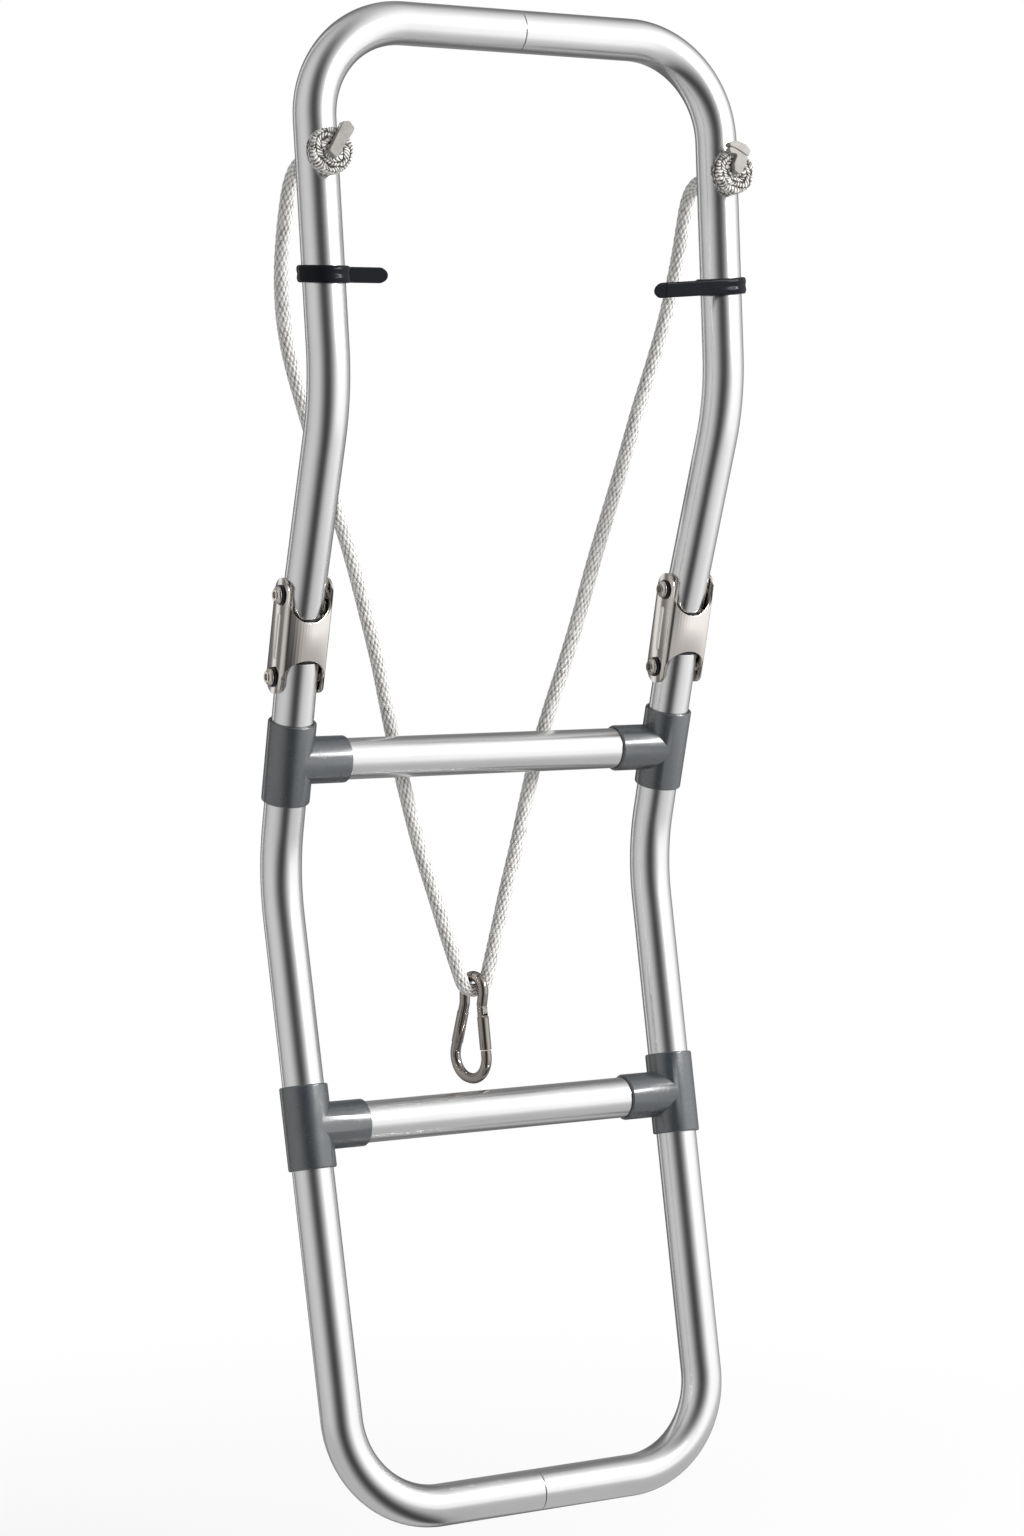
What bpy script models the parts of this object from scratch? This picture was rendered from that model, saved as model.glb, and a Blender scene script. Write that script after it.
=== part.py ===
"""Folding boarding ladder: two bent tube hoops, side hinges, two rungs and a hauling rope.

World frame: X across the ladder, Y towards the rope side, Z up.
The origin is the middle of the top tube, where a hand or a hook holds the ladder.
"""

import math

import bmesh
import bpy
from mathutils import Matrix, Vector

# Rail tubes: lengths in metres, angles in radians
TUBE_DIAMETER = 0.025
TUBE_WALL = 0.0015
TOP_SPACING = 0.2694
RAIL_LEAN = math.radians(0.8)
CORNER_RADIUS = 0.058
UPPER_LEG = 0.2145
UPPER_TILT = math.radians(-5.5)
UPPER_BEND_RADIUS = 0.120
UPPER_MID_LEG = 0.1235
UPPER_MID_TILT = math.radians(19.5)
LOWER_MID_LEG = 0.1233
LOWER_MID_TILT = math.radians(14.5)
LOWER_BEND_RADIUS = 0.110
LOWER_LEG = 0.3827
LOWER_TILT = math.radians(-13.5)
TUBE_OVERRUN = 0.011

# Joint sleeves in the two seams, and plugs in the tube ends at the hinges
SLEEVE_LENGTH = 0.080
SLEEVE_WALL = 0.0015
INNER_FIT = 0.0005
PLUG_LENGTH = 0.022
PLUG_FLANGE = 0.0015

# Hinge channels
HINGE_LINK = 0.050
SHEET = 0.0015
HINGE_SIDE_CLEARANCE = 0.0007
EAR_RADIUS = 0.010
WEB_CORNER_DEPTH = 0.0104
WEB_CROWN_DEPTH = 0.0169
WEB_CORNER_RADIUS = 0.0045
WEB_CROWN_RADIUS = 0.026
WEB_NOTCH_CLEARANCE = 0.0011
WEB_NOTCH_START = 0.0074
BEAD_LENGTH = 0.028
BEAD_WIDTH = 0.0055
BEAD_HEIGHT = 0.0008

# Pivot screws, washers and sleeve nuts
SCREW_DIAMETER = 0.006
SCREW_LENGTH = 0.016
SCREW_HEAD_DIAMETER = 0.0105
SCREW_HEAD_HEIGHT = 0.003
SOCKET_WIDTH = 0.004
SOCKET_DEPTH = 0.0018
WASHER_DIAMETER = 0.012
WASHER_THICKNESS = 0.001
NUT_BARREL_DIAMETER = 0.008
NUT_HEAD_DIAMETER = 0.011
NUT_HEAD_HEIGHT = 0.002
NUT_BORE_SPARE = 0.002

# Rungs and the moulded tees that hold them
UPPER_RUNG_DROP = 0.0526
LOWER_RUNG_DROP = 0.1531
RUNG_DIAMETER = 0.025
RUNG_WALL = 0.0015
RUNG_SETBACK = 0.015
TEE_WALL = 0.0017
TEE_LENGTH = 0.050
TEE_REACH = 0.036
TEE_CHAMFER = 0.0013
TEE_BRANCH_STEP = 0.0003
RIVET_DIAMETER = 0.004
RIVET_HEAD_DIAMETER = 0.008
RIVET_HEAD_HEIGHT = 0.0012
RIVET_GRIP_SPARE = 0.0025
RAIL_RIVET_RISE = 0.016
RUNG_RIVET_REACH = 0.0275

# Outlines of the domed heads, as shares of the head's radius and of its height
SCREW_DOME = [(1, 0), (1, 0.25), (0.86, 0.7), (0.62, 1), (0, 1)]
NUT_DOME = [(1, 0), (1, 0.3), (0.86, 0.6), (0.55, 0.9), (0, 1)]
RIVET_DOME = [(1, 0), (1, 0.3), (0.6, 0.85), (0, 1)]

# Storage straps
STRAP_DROP = 0.1485
STRAP_WIDTH = 0.010
STRAP_THICKNESS = 0.0024
STRAP_REACH = {-1: 0.0472, 1: 0.0548}
STRAP_TAIL_STEP = 0.0001
STRAP_TAIL_START = -0.0003
# How each tail lies against its ring: raised along the rail, or turned to hang a little
STRAP_TAIL_LIFT = {-1: 0.0022, 1: 0.0}
STRAP_TAIL_HANG = {-1: 0.0, 1: math.radians(-4.5)}

# Rope, its stopper knots and the bight that carries the snap hook
ROPE_DIAMETER = 0.009
ROPE_DROP = 0.080
ROPE_HOLE_DIAMETER = 0.010
ROPE_STEP = 0.020
ROPE_TURN = math.radians(11)
BIGHT_RADIUS = 0.009
BIGHT_CENTRE = Vector((0, 0.0563, -0.5676))
BIGHT_HALF_ANGLE = math.radians(71.4)
BIGHT_STEPS = 8
KNOT_DIAMETER = 0.0268
KNOT_THICKNESS = 0.0095
KNOT_RIM = 0.0022
KNOT_CROWN = 0.0006
KNOT_TAIL = 0.0015
TAB_WIDTH = 0.007
TAB_SINK = 0.001
# Bars of the sealed rope ends on the knots' faces: start and end, across and down, and height
LEFT_TAB = [((0.0005, 0.0010), (0.0100, -0.0140), 0.0040)]
RIGHT_TAB = [((0.0010, -0.0014), (0.0040, -0.0104), 0.0040),
             ((-0.0050, -0.0119), (0.0040, -0.0119), 0.0034)]
# Left strand of the rope from its exit to the bight; the right strand mirrors it
ROPE_ROUTE = [
    (-0.1338, 0.0232, -0.0862),
    (-0.1341, 0.0290, -0.0941),
    (-0.1343, 0.0332, -0.1052),
    (-0.1342, 0.0380, -0.1215),
    (-0.1330, 0.0437, -0.1420),
    (-0.1298, 0.0490, -0.1660),
    (-0.1240, 0.0526, -0.1900),
    (-0.1150, 0.0544, -0.2180),
    (-0.1045, 0.0542, -0.2500),
    (-0.0935, 0.0534, -0.2810),
    (-0.0830, 0.0536, -0.3120),
    (-0.0735, 0.0546, -0.3440),
    (-0.0646, 0.0568, -0.3740),
    (-0.0560, 0.0612, -0.4040),
    (-0.0488, 0.0640, -0.4300),
    (-0.0415, 0.0642, -0.4580),
    (-0.0336, 0.0630, -0.4880),
    (-0.0252, 0.0612, -0.5155),
    (-0.0178, 0.0590, -0.5405),
    (-0.0126, 0.0574, -0.5575),
]

# Snap hook: a bent wire with an eye, a spring gate and its pin
HOOK_WIRE = 0.0065
HOOK_BARREL = 0.0072
HOOK_TURN = math.radians(-75)
HOOK_HANG = math.radians(4)
HOOK_LEG_TOP = Vector((0.0079, 0, -0.0095))
HOOK_LEG_BOTTOM = Vector((0.0142, 0, -0.0400))
HOOK_BASE = -0.0553
HOOK_BASE_RADIUS = 0.0138
HOOK_WAIST_RADIUS = 0.008
HOOK_EYE_HALF_WIDTH = 0.0091
HOOK_EYE_PLAY = 0.0010
HOOK_EYE_RADIUS = 0.0087
GATE_PIVOT_HEIGHT = -0.0120
GATE_LENGTH = 0.0262
GATE_TOP = 0.0026
GATE_NECK = 0.0064
GATE_NECK_LENGTH = 0.0057
GATE_BORE = 0.0040
GATE_FLOOR = 0.0021
GATE_GAP = 0.0006
GATE_BEVEL = 0.0005
SLOT_PLAY = 0.0004
SLOT_FLOOR_PLAY = 0.0012
TONGUE_THICKNESS = 0.0038
TONGUE_RADIUS = 0.0026
TONGUE_LENGTH = 0.0055
HOOK_SHOULDER = 0.0041
PIN_DIAMETER = 0.0022
PIN_LENGTH = 0.0068
PIN_PLAY = 0.0002
SPRING_WIRE = 0.0007
SPRING_DIAMETER = 0.0028
SPRING_TURNS = 7
SPRING_STEPS = 8

# Gaps and roundness shared by all pieces
GAP = 0.0003
BORE_PLAY = 0.0003
SEAM_GAP = 0.0004
CUTTER_REACH = 0.0175
RAIL_ARC_STEP = math.radians(11)
WIRE_ARC_STEP = math.radians(13)
TEE_STEPS = 24
FINE_STEPS = 20
TUBE_STEPS = 16
SMALL_STEPS = 12
END_STEPS = 10

TUBE_RADIUS = TUBE_DIAMETER / 2
RUNG_RADIUS = RUNG_DIAMETER / 2
ROPE_RADIUS = ROPE_DIAMETER / 2


def clear_scene():
    """Remove what the open file holds."""
    for old in list(bpy.data.objects):
        bpy.data.objects.remove(old, do_unlink=True)


def new_collection(name):
    """A collection under the scene's own."""
    made = bpy.data.collections.new(name)
    bpy.context.scene.collection.children.link(made)
    return made


clear_scene()
PARTS = new_collection("boarding_ladder")
CUTTERS = new_collection("cutters")


def material(name, colour, metallic, roughness):
    """A Principled material with one colour."""
    made = bpy.data.materials.new(name)
    made.use_nodes = True
    shader = made.node_tree.nodes["Principled BSDF"]
    shader.inputs["Base Color"].default_value = (*colour, 1)
    shader.inputs["Metallic"].default_value = metallic
    shader.inputs["Roughness"].default_value = roughness
    made.diffuse_color = (*colour, 1)
    return made


# The ladder's side profile, as points in the plane X = 0


def going_down(tilt):
    """Unit vector down a leg that leans towards the rope side by tilt."""
    return Vector((0, math.sin(tilt), -math.cos(tilt)))


TOP = Vector((0, 0, 0))
UPPER_BEND = TOP + UPPER_LEG * going_down(UPPER_TILT)
UPPER_PIVOT = UPPER_BEND + UPPER_MID_LEG * going_down(UPPER_MID_TILT)
LOWER_PIVOT = UPPER_PIVOT + HINGE_LINK * going_down(LOWER_MID_TILT)
LOWER_BEND = LOWER_PIVOT + LOWER_MID_LEG * going_down(LOWER_MID_TILT)
BOTTOM = LOWER_BEND + LOWER_LEG * going_down(LOWER_TILT)


def on_side(side, point):
    """The profile point moved out to the left (-1) or right (1) rail."""
    half = TOP_SPACING / 2 + point.z * math.tan(RAIL_LEAN)
    return Vector((side * half, point.y, point.z))


def frame_at(origin, up):
    """Matrix at origin with local Z along up, local X along world X, local Y to the back."""
    z_axis = up.normalized()
    y_axis = z_axis.cross(Vector((1, 0, 0))).normalized()
    x_axis = y_axis.cross(z_axis)
    turn = Matrix((x_axis, y_axis, z_axis)).transposed().to_4x4()
    return Matrix.Translation(origin) @ turn


def leg_frame(side, start, tilt, distance):
    """Frame on a rail's axis, distance down the leg that begins at start."""
    lower = start + distance * going_down(tilt)
    further = lower + going_down(tilt)
    return frame_at(on_side(side, lower), on_side(side, lower) - on_side(side, further))


def across(origin, side=1):
    """Frame with local Z along world X, towards side."""
    return Matrix.Translation(origin) @ Matrix.Rotation(side * math.pi / 2, 4, "Y")


BACK = Matrix.Rotation(-math.pi / 2, 4, "X")
FRONT = Matrix.Rotation(math.pi / 2, 4, "X")
SIDE_VIEW = Matrix.Rotation(math.pi / 2, 4, "Z") @ Matrix.Rotation(math.pi / 2, 4, "X")


def fillet_path(corners, radii, arc_step=RAIL_ARC_STEP):
    """Points along straight runs joined by arcs of the given radii."""
    points = [corners[0]]
    for index, radius in enumerate(radii, start=1):
        points += arc_at(*corners[index - 1:index + 2], radius, arc_step)
    points.append(corners[-1])
    return points


def arc_at(before, corner, after, radius, arc_step):
    """Points of the arc that rounds one corner."""
    back = (before - corner).normalized()
    ahead = (after - corner).normalized()
    turn = math.pi - back.angle(ahead)
    reach = radius * math.tan(turn / 2)
    centre = corner + (back + ahead).normalized() * (radius / math.cos(turn / 2))
    first = corner + back * reach - centre
    last = corner + ahead * reach - centre
    steps = max(2, math.ceil(turn / arc_step))
    points = []
    for step in range(steps + 1):
        share = step / steps
        blend = math.sin((1 - share) * turn) * first + math.sin(share * turn) * last
        points.append(centre + blend / math.sin(turn))
    return points


def place(name, mesh, matrix, cutter=False):
    """An object for the mesh, among the parts or among the cutters."""
    made = bpy.data.objects.new(name, mesh)
    made.matrix_world = matrix
    if cutter:
        CUTTERS.objects.link(made)
        made.hide_render = True
        made.display_type = "WIRE"
    else:
        PARTS.objects.link(made)
    return made


def turned(name, profile, matrix, steps=FINE_STEPS, ring=False, cutter=False):
    """A turned piece; profile is (radius, height) down the outer side, top to bottom."""
    mesh = bpy.data.meshes.new(name)
    edges = [(index, index + 1) for index in range(len(profile) - 1)]
    if ring:
        edges.append((len(profile) - 1, 0))
    mesh.from_pydata([(radius, 0, height) for radius, height in profile], edges, [])
    made = place(name, mesh, matrix, cutter)
    screw = made.modifiers.new("turn", "SCREW")
    screw.angle = 2 * math.pi
    screw.steps = steps
    screw.render_steps = steps
    screw.use_merge_vertices = True
    screw.merge_threshold = 0.00001
    screw.use_smooth_shade = True
    return made


def drum(name, radius, low, high, matrix, steps=SMALL_STEPS, cutter=False):
    """A cylinder along local Z from low to high."""
    mesh = bpy.data.meshes.new(name)
    shape = bmesh.new()
    middle = Matrix.Translation((0, 0, (low + high) / 2))
    bmesh.ops.create_cone(shape, cap_ends=True, segments=steps, radius1=radius,
                          radius2=radius, depth=high - low, matrix=middle)
    shape.to_mesh(mesh)
    shape.free()
    return place(name, mesh, matrix, cutter)


def block(name, low, high, matrix, cutter=False):
    """A box between two corners."""
    mesh = bpy.data.meshes.new(name)
    shape = bmesh.new()
    size = Matrix.Diagonal((*(high - low), 1))
    bmesh.ops.create_cube(shape, size=1, matrix=Matrix.Translation((low + high) / 2) @ size)
    shape.to_mesh(mesh)
    shape.free()
    return place(name, mesh, matrix, cutter)


def meshed(curve_object, name, cutter):
    """Turn a curve object into a mesh object with welded caps."""
    bpy.context.view_layer.update()
    graph = bpy.context.evaluated_depsgraph_get()
    mesh = bpy.data.meshes.new_from_object(curve_object.evaluated_get(graph))
    shape = bmesh.new()
    shape.from_mesh(mesh)
    bmesh.ops.remove_doubles(shape, verts=shape.verts, dist=0.000002)
    shape.to_mesh(mesh)
    shape.free()
    matrix = curve_object.matrix_world.copy()
    bpy.data.objects.remove(curve_object, do_unlink=True)
    mesh.name = name
    return place(name, mesh, matrix, cutter)


def poly_spline(curve, points, cyclic=False):
    """Add one straight-sided spline to a curve."""
    spline = curve.splines.new("POLY")
    spline.points.add(len(points) - 1)
    for target, point in zip(spline.points, points):
        target.co = (*point, 1)
    spline.use_cyclic_u = cyclic
    return spline


def rod(name, points, radius, matrix=Matrix(), resolution=4, capped=True, cutter=False):
    """A round bar along the points, or an open skin of one when not capped."""
    curve = bpy.data.curves.new(name, "CURVE")
    curve.dimensions = "3D"
    curve.bevel_depth = radius
    curve.bevel_resolution = resolution
    curve.use_fill_caps = capped
    poly_spline(curve, points)
    return meshed(place(name, curve, matrix), name, cutter)


def plate(name, loops, thickness, matrix, cutter=False):
    """A flat plate with the loops as its outline and holes, centred on local Z = 0."""
    curve = bpy.data.curves.new(name, "CURVE")
    curve.dimensions = "2D"
    curve.fill_mode = "BOTH"
    curve.extrude = thickness / 2
    for loop in loops:
        poly_spline(curve, [(x, y, 0) for x, y in loop], cyclic=True)
    return meshed(place(name, curve, matrix), name, cutter)


def wall(target, thickness, offset=-1):
    """Give an open skin its wall, behind its faces (-1) or in front of them (1)."""
    shell = target.modifiers.new("wall", "SOLIDIFY")
    shell.thickness = thickness
    shell.offset = offset
    shell.use_even_offset = True


def shape_with(target, tool, operation):
    """Cut the tool from the target, or join it on, and keep the tool with the target."""
    change = target.modifiers.new(operation.lower(), "BOOLEAN")
    change.operation = operation
    change.solver = "EXACT"
    change.object = tool
    tool.parent = target
    tool.matrix_parent_inverse = target.matrix_world.inverted()


def cut(target, tool):
    """Cut the tool from the target."""
    shape_with(target, tool, "DIFFERENCE")


def join(target, tool):
    """Join the tool onto the target."""
    shape_with(target, tool, "UNION")


def circle(radius, steps, start=0.0, end=2 * math.pi, centre=(0, 0)):
    """Points on a circle or an arc of it."""
    whole = abs(end - start) > 2 * math.pi - 0.001
    count = steps if whole else steps + 1
    points = []
    for step in range(count):
        angle = start + (end - start) * step / steps
        points.append((centre[0] + radius * math.cos(angle), centre[1] + radius * math.sin(angle)))
    return points


def dome(outline, radius, base, height):
    """Profile points of a head that stands on base and is height tall."""
    return [(radius * wide, base + height * tall) for wide, tall in outline]


def stadium(half_length, radius, steps=END_STEPS):
    """Outline of a slot shape along local Y."""
    upper = circle(radius, steps, 0, math.pi, (0, half_length))
    lower = circle(radius, steps, math.pi, 2 * math.pi, (0, -half_length))
    return upper + lower


def side_name(side):
    """The side's name in object names."""
    return "left" if side < 0 else "right"


# Rails


def rope_frame(side):
    """Frame on the rail axis where the rope goes through, local Z to the back."""
    return leg_frame(side, TOP, UPPER_TILT, ROPE_DROP) @ BACK


def upper_rail(side, finish):
    """One half of the upper hoop, from the top seam to the hinge."""
    name = f"upper_rail_{side_name(side)}"
    end = UPPER_PIVOT + TUBE_OVERRUN * going_down(UPPER_MID_TILT)
    corners = [Vector((side * SEAM_GAP / 2, 0, 0)), on_side(side, TOP),
               on_side(side, UPPER_BEND), on_side(side, end)]
    path = fillet_path(corners, [CORNER_RADIUS, UPPER_BEND_RADIUS])
    rail = rod(name, path, TUBE_RADIUS, resolution=6, capped=False)
    wall(rail, TUBE_WALL)
    cut(rail, drum(f"{name}_rope_hole", ROPE_HOLE_DIAMETER / 2, -CUTTER_REACH, CUTTER_REACH,
                   rope_frame(side), cutter=True))
    cut(rail, pivot_bore(f"{name}_pivot_bore", on_side(side, UPPER_PIVOT)))
    rail.data.materials.append(finish)
    return rail


def lower_rail(side, finish):
    """One half of the lower hoop, from the hinge to the bottom seam."""
    name = f"lower_rail_{side_name(side)}"
    start = LOWER_PIVOT - TUBE_OVERRUN * going_down(LOWER_MID_TILT)
    corners = [on_side(side, start), on_side(side, LOWER_BEND), on_side(side, BOTTOM),
               Vector((side * SEAM_GAP / 2, BOTTOM.y, BOTTOM.z))]
    path = fillet_path(corners, [LOWER_BEND_RADIUS, CORNER_RADIUS])
    rail = rod(name, path, TUBE_RADIUS, resolution=6, capped=False)
    wall(rail, TUBE_WALL)
    cut(rail, pivot_bore(f"{name}_pivot_bore", on_side(side, LOWER_PIVOT)))
    for level in ("upper", "lower"):
        cut(rail, rivet_hole(f"{name}_{level}_rivet_hole", rail_rivet_frame(level, side)))
    rail.data.materials.append(finish)
    return rail


def pivot_bore(name, centre):
    """Cutter for a sleeve nut's barrel, along X."""
    radius = NUT_BARREL_DIAMETER / 2 + BORE_PLAY
    return drum(name, radius, -CUTTER_REACH, CUTTER_REACH, across(centre), cutter=True)


def joint_sleeve(name, seam, finish):
    """The tube inside a hoop's seam."""
    outer = TUBE_RADIUS - TUBE_WALL - INNER_FIT
    inner = outer - SLEEVE_WALL
    half = SLEEVE_LENGTH / 2
    profile = [(outer, half), (outer, -half), (inner, -half), (inner, half)]
    sleeve = turned(name, profile, across(seam), TUBE_STEPS, ring=True)
    sleeve.data.materials.append(finish)
    return sleeve


def end_plug(name, side, pivot, outwards, finish):
    """The bored plug in a tube's end; outwards points out of the tube, along its axis."""
    radius = TUBE_RADIUS - TUBE_WALL - INNER_FIT
    face = TUBE_OVERRUN + GAP
    frame = frame_at(on_side(side, pivot), on_side(side, pivot - outwards) - on_side(side, pivot))
    profile = [(0, PLUG_LENGTH - face), (radius, PLUG_LENGTH - face), (radius, -face),
               (TUBE_RADIUS, -face), (TUBE_RADIUS, -face - PLUG_FLANGE), (0, -face - PLUG_FLANGE)]
    plug = turned(name, profile, frame, TUBE_STEPS)
    cut(plug, pivot_bore(f"{name}_bore", on_side(side, pivot)))
    plug.data.materials.append(finish)
    return plug


# Hinges

HINGE_INSIDE = TUBE_RADIUS + HINGE_SIDE_CLEARANCE
HINGE_OUTSIDE = HINGE_INSIDE + SHEET
HINGE_MIDDLE = (UPPER_PIVOT + LOWER_PIVOT) / 2


def hinge_frame(side):
    """Frame in the middle of a channel, local Z along the link, local X exactly across."""
    return frame_at(on_side(side, HINGE_MIDDLE), UPPER_PIVOT - LOWER_PIVOT)


def pivot_point(side, pivot):
    """A pivot's middle, on the channel's own centre plane."""
    return Vector((on_side(side, HINGE_MIDDLE).x, pivot.y, pivot.z))


def channel_skin(name, frame):
    """The bent sheet: two ears joined by a bowed web in front."""
    half = HINGE_OUTSIDE
    corners = [Vector((-half, EAR_RADIUS, 0)), Vector((-half, -WEB_CORNER_DEPTH, 0)),
               Vector((0, -WEB_CROWN_DEPTH, 0)), Vector((half, -WEB_CORNER_DEPTH, 0)),
               Vector((half, EAR_RADIUS, 0))]
    radii = [WEB_CORNER_RADIUS, WEB_CROWN_RADIUS, WEB_CORNER_RADIUS]
    outer = fillet_path(corners, radii, WIRE_ARC_STEP)
    curve = bpy.data.curves.new(name, "CURVE")
    curve.dimensions = "2D"
    curve.fill_mode = "NONE"
    curve.extrude = HINGE_LINK / 2 + EAR_RADIUS
    poly_spline(curve, outer)
    return meshed(place(name, curve, frame), name, False)


def channel_mask(name, frame):
    """Side view of the channel: the ears' round-ended strip and the web in front of it."""
    half = HINGE_LINK / 2
    ears = plate(name, [stadium(half, EAR_RADIUS)], 4 * HINGE_OUTSIDE, frame @ SIDE_VIEW,
                 cutter=True)
    low = Vector((-2 * HINGE_OUTSIDE, -2 * WEB_CROWN_DEPTH, -half))
    high = Vector((2 * HINGE_OUTSIDE, 0, half))
    join(ears, block(f"{name}_front", low, high, frame, cutter=True))
    return ears


def web_notch(name, side, pivot, frame):
    """Cutter that opens the web round a folded rail at one pivot."""
    radius = TUBE_RADIUS + WEB_NOTCH_CLEARANCE
    centre = pivot_point(side, pivot)
    outward = Matrix.Translation(centre) @ frame.to_3x3().to_4x4() @ FRONT
    return drum(name, radius, WEB_NOTCH_START, 3 * WEB_CROWN_DEPTH, outward, FINE_STEPS,
                cutter=True)


def hinge_channel(side, finish):
    """The bent stainless link between the two halves of one rail."""
    name = f"hinge_channel_{side_name(side)}"
    frame = hinge_frame(side)
    channel = channel_skin(name, frame)
    wall(channel, SHEET, offset=1)
    shape_with(channel, channel_mask(f"{name}_side_view", frame), "INTERSECT")
    for label, pivot in (("top", UPPER_PIVOT), ("bottom", LOWER_PIVOT)):
        cut(channel, web_notch(f"{name}_{label}_notch", side, pivot, frame))
        centre = pivot_point(side, pivot)
        far = drum(f"{name}_{label}_far_hole", NUT_BARREL_DIAMETER / 2 + BORE_PLAY,
                   0, 2 * HINGE_OUTSIDE, across(centre), cutter=True)
        near = drum(f"{name}_{label}_near_hole", SCREW_DIAMETER / 2 + BORE_PLAY,
                    -2 * HINGE_OUTSIDE, 0, across(centre), cutter=True)
        cut(channel, far)
        cut(channel, near)
    for edge in (-1, 1):
        join(channel, ear_bead(f"{name}_bead_{side_name(edge)}", edge, frame))
    channel.data.materials.append(finish)
    return channel


def ear_bead(name, edge, frame):
    """The stiffening bead that stands proud of an ear."""
    outside = frame @ Matrix.Translation((edge * HINGE_OUTSIDE, 0, 0))
    outline = stadium((BEAD_LENGTH - BEAD_WIDTH) / 2, BEAD_WIDTH / 2)
    return plate(name, [outline], 2 * BEAD_HEIGHT, outside @ SIDE_VIEW, cutter=True)


def pivot_screw(name, centre, finish):
    """Button head screw from the -X side."""
    under_head = -(HINGE_OUTSIDE + WASHER_THICKNESS + 2 * GAP)
    end = under_head + SCREW_LENGTH
    shank = SCREW_DIAMETER / 2
    face = under_head - SCREW_HEAD_HEIGHT
    head = dome(SCREW_DOME, SCREW_HEAD_DIAMETER / 2, under_head, -SCREW_HEAD_HEIGHT)
    profile = [(0, end), (shank, end), (shank, under_head), *head]
    screw = turned(name, profile, across(centre), SMALL_STEPS)
    socket = drum(f"{name}_socket", SOCKET_WIDTH / math.sqrt(3), face - SOCKET_DEPTH,
                  face + SOCKET_DEPTH, across(centre), 6, cutter=True)
    cut(screw, socket)
    screw.data.materials.append(finish)
    return screw


def pivot_washer(name, centre, finish):
    """Plastic washer under the screw's head."""
    outer = WASHER_DIAMETER / 2
    inner = SCREW_DIAMETER / 2 + BORE_PLAY
    near = -(HINGE_OUTSIDE + GAP)
    far = near - WASHER_THICKNESS
    profile = [(outer, near), (outer, far), (inner, far), (inner, near)]
    washer = turned(name, profile, across(centre), SMALL_STEPS, ring=True)
    washer.data.materials.append(finish)
    return washer


def pivot_nut(name, centre, finish):
    """Sleeve nut from the +X side, whose barrel is the pivot."""
    under_head = HINGE_OUTSIDE + GAP
    barrel = NUT_BARREL_DIAMETER / 2
    bore = SCREW_DIAMETER / 2 + BORE_PLAY
    screw_end = -(HINGE_OUTSIDE + WASHER_THICKNESS + 2 * GAP) + SCREW_LENGTH
    mouth = -HINGE_INSIDE + GAP
    floor = screw_end + NUT_BORE_SPARE
    head = dome(NUT_DOME, NUT_HEAD_DIAMETER / 2, under_head, NUT_HEAD_HEIGHT)
    profile = [*reversed(head), (barrel, under_head), (barrel, mouth), (bore, mouth),
               (bore, floor), (0, floor)]
    nut = turned(name, profile, across(centre), SMALL_STEPS)
    nut.data.materials.append(finish)
    return nut


# Rungs and tees


def rung_spot(level):
    """Start, tilt and distance of the rail leg point where a rung crosses."""
    if level == "upper":
        return LOWER_PIVOT, LOWER_MID_TILT, UPPER_RUNG_DROP
    return LOWER_BEND, LOWER_TILT, LOWER_RUNG_DROP


def tee_frame(level, side):
    """Frame on the rail axis at a rung."""
    start, tilt, distance = rung_spot(level)
    return leg_frame(side, start, tilt, distance)


def rung(level, finish):
    """A straight tube between two tees."""
    centre = tee_frame(level, 1).translation
    half = centre.x - RUNG_SETBACK
    inner = RUNG_RADIUS - RUNG_WALL
    profile = [(RUNG_RADIUS, half), (RUNG_RADIUS, -half), (inner, -half), (inner, half)]
    middle = across(Vector((0, centre.y, centre.z)))
    tube = turned(f"rung_{level}", profile, middle, TUBE_STEPS, ring=True)
    for side in (-1, 1):
        cut(tube, rivet_hole(f"rung_{level}_{side_name(side)}_rivet_hole",
                             rung_rivet_frame(level, side)))
    tube.data.materials.append(finish)
    return tube


def tee(level, side, finish):
    """Moulded fitting: a sleeve on the rail and a branch for the rung."""
    name = f"tee_{level}_{side_name(side)}"
    frame = tee_frame(level, side)
    outer = TUBE_RADIUS + GAP + TEE_WALL
    half = TEE_LENGTH / 2
    profile = [(0, half), (outer - TEE_CHAMFER, half), (outer, half - TEE_CHAMFER),
               (outer, TEE_CHAMFER - half), (outer - TEE_CHAMFER, -half), (0, -half)]
    body = turned(name, profile, frame, TEE_STEPS)
    cut(body, rivet_hole(f"{name}_rail_rivet_hole", rail_rivet_frame(level, side)))
    join(body, tee_branch(f"{name}_branch", level, side, across(frame.translation, -side)))
    cut(body, drum(f"{name}_rail_bore", TUBE_RADIUS + GAP, -TEE_LENGTH, TEE_LENGTH, frame,
                   TEE_STEPS, cutter=True))
    body.data.materials.append(finish)
    return body


def tee_branch(name, level, side, inwards):
    """The tee's branch with the blind bore that the rung's end sits in."""
    bore = RUNG_RADIUS + GAP
    outer = bore + TEE_WALL - TEE_BRANCH_STEP
    floor = RUNG_SETBACK - GAP
    profile = [(bore, TEE_REACH), (outer - TEE_CHAMFER, TEE_REACH),
               (outer, TEE_REACH - TEE_CHAMFER), (outer, 0), (0, 0), (0, floor), (bore, floor)]
    branch = turned(name, profile, inwards, TEE_STEPS, ring=True, cutter=True)
    cut(branch, rivet_hole(f"{name}_rivet_hole", rung_rivet_frame(level, side)))
    return branch


def rail_rivet_frame(level, side):
    """Frame on the rail axis at its rivet, local Z to the back."""
    return tee_frame(level, side) @ Matrix.Translation((0, 0, RAIL_RIVET_RISE)) @ BACK


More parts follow.
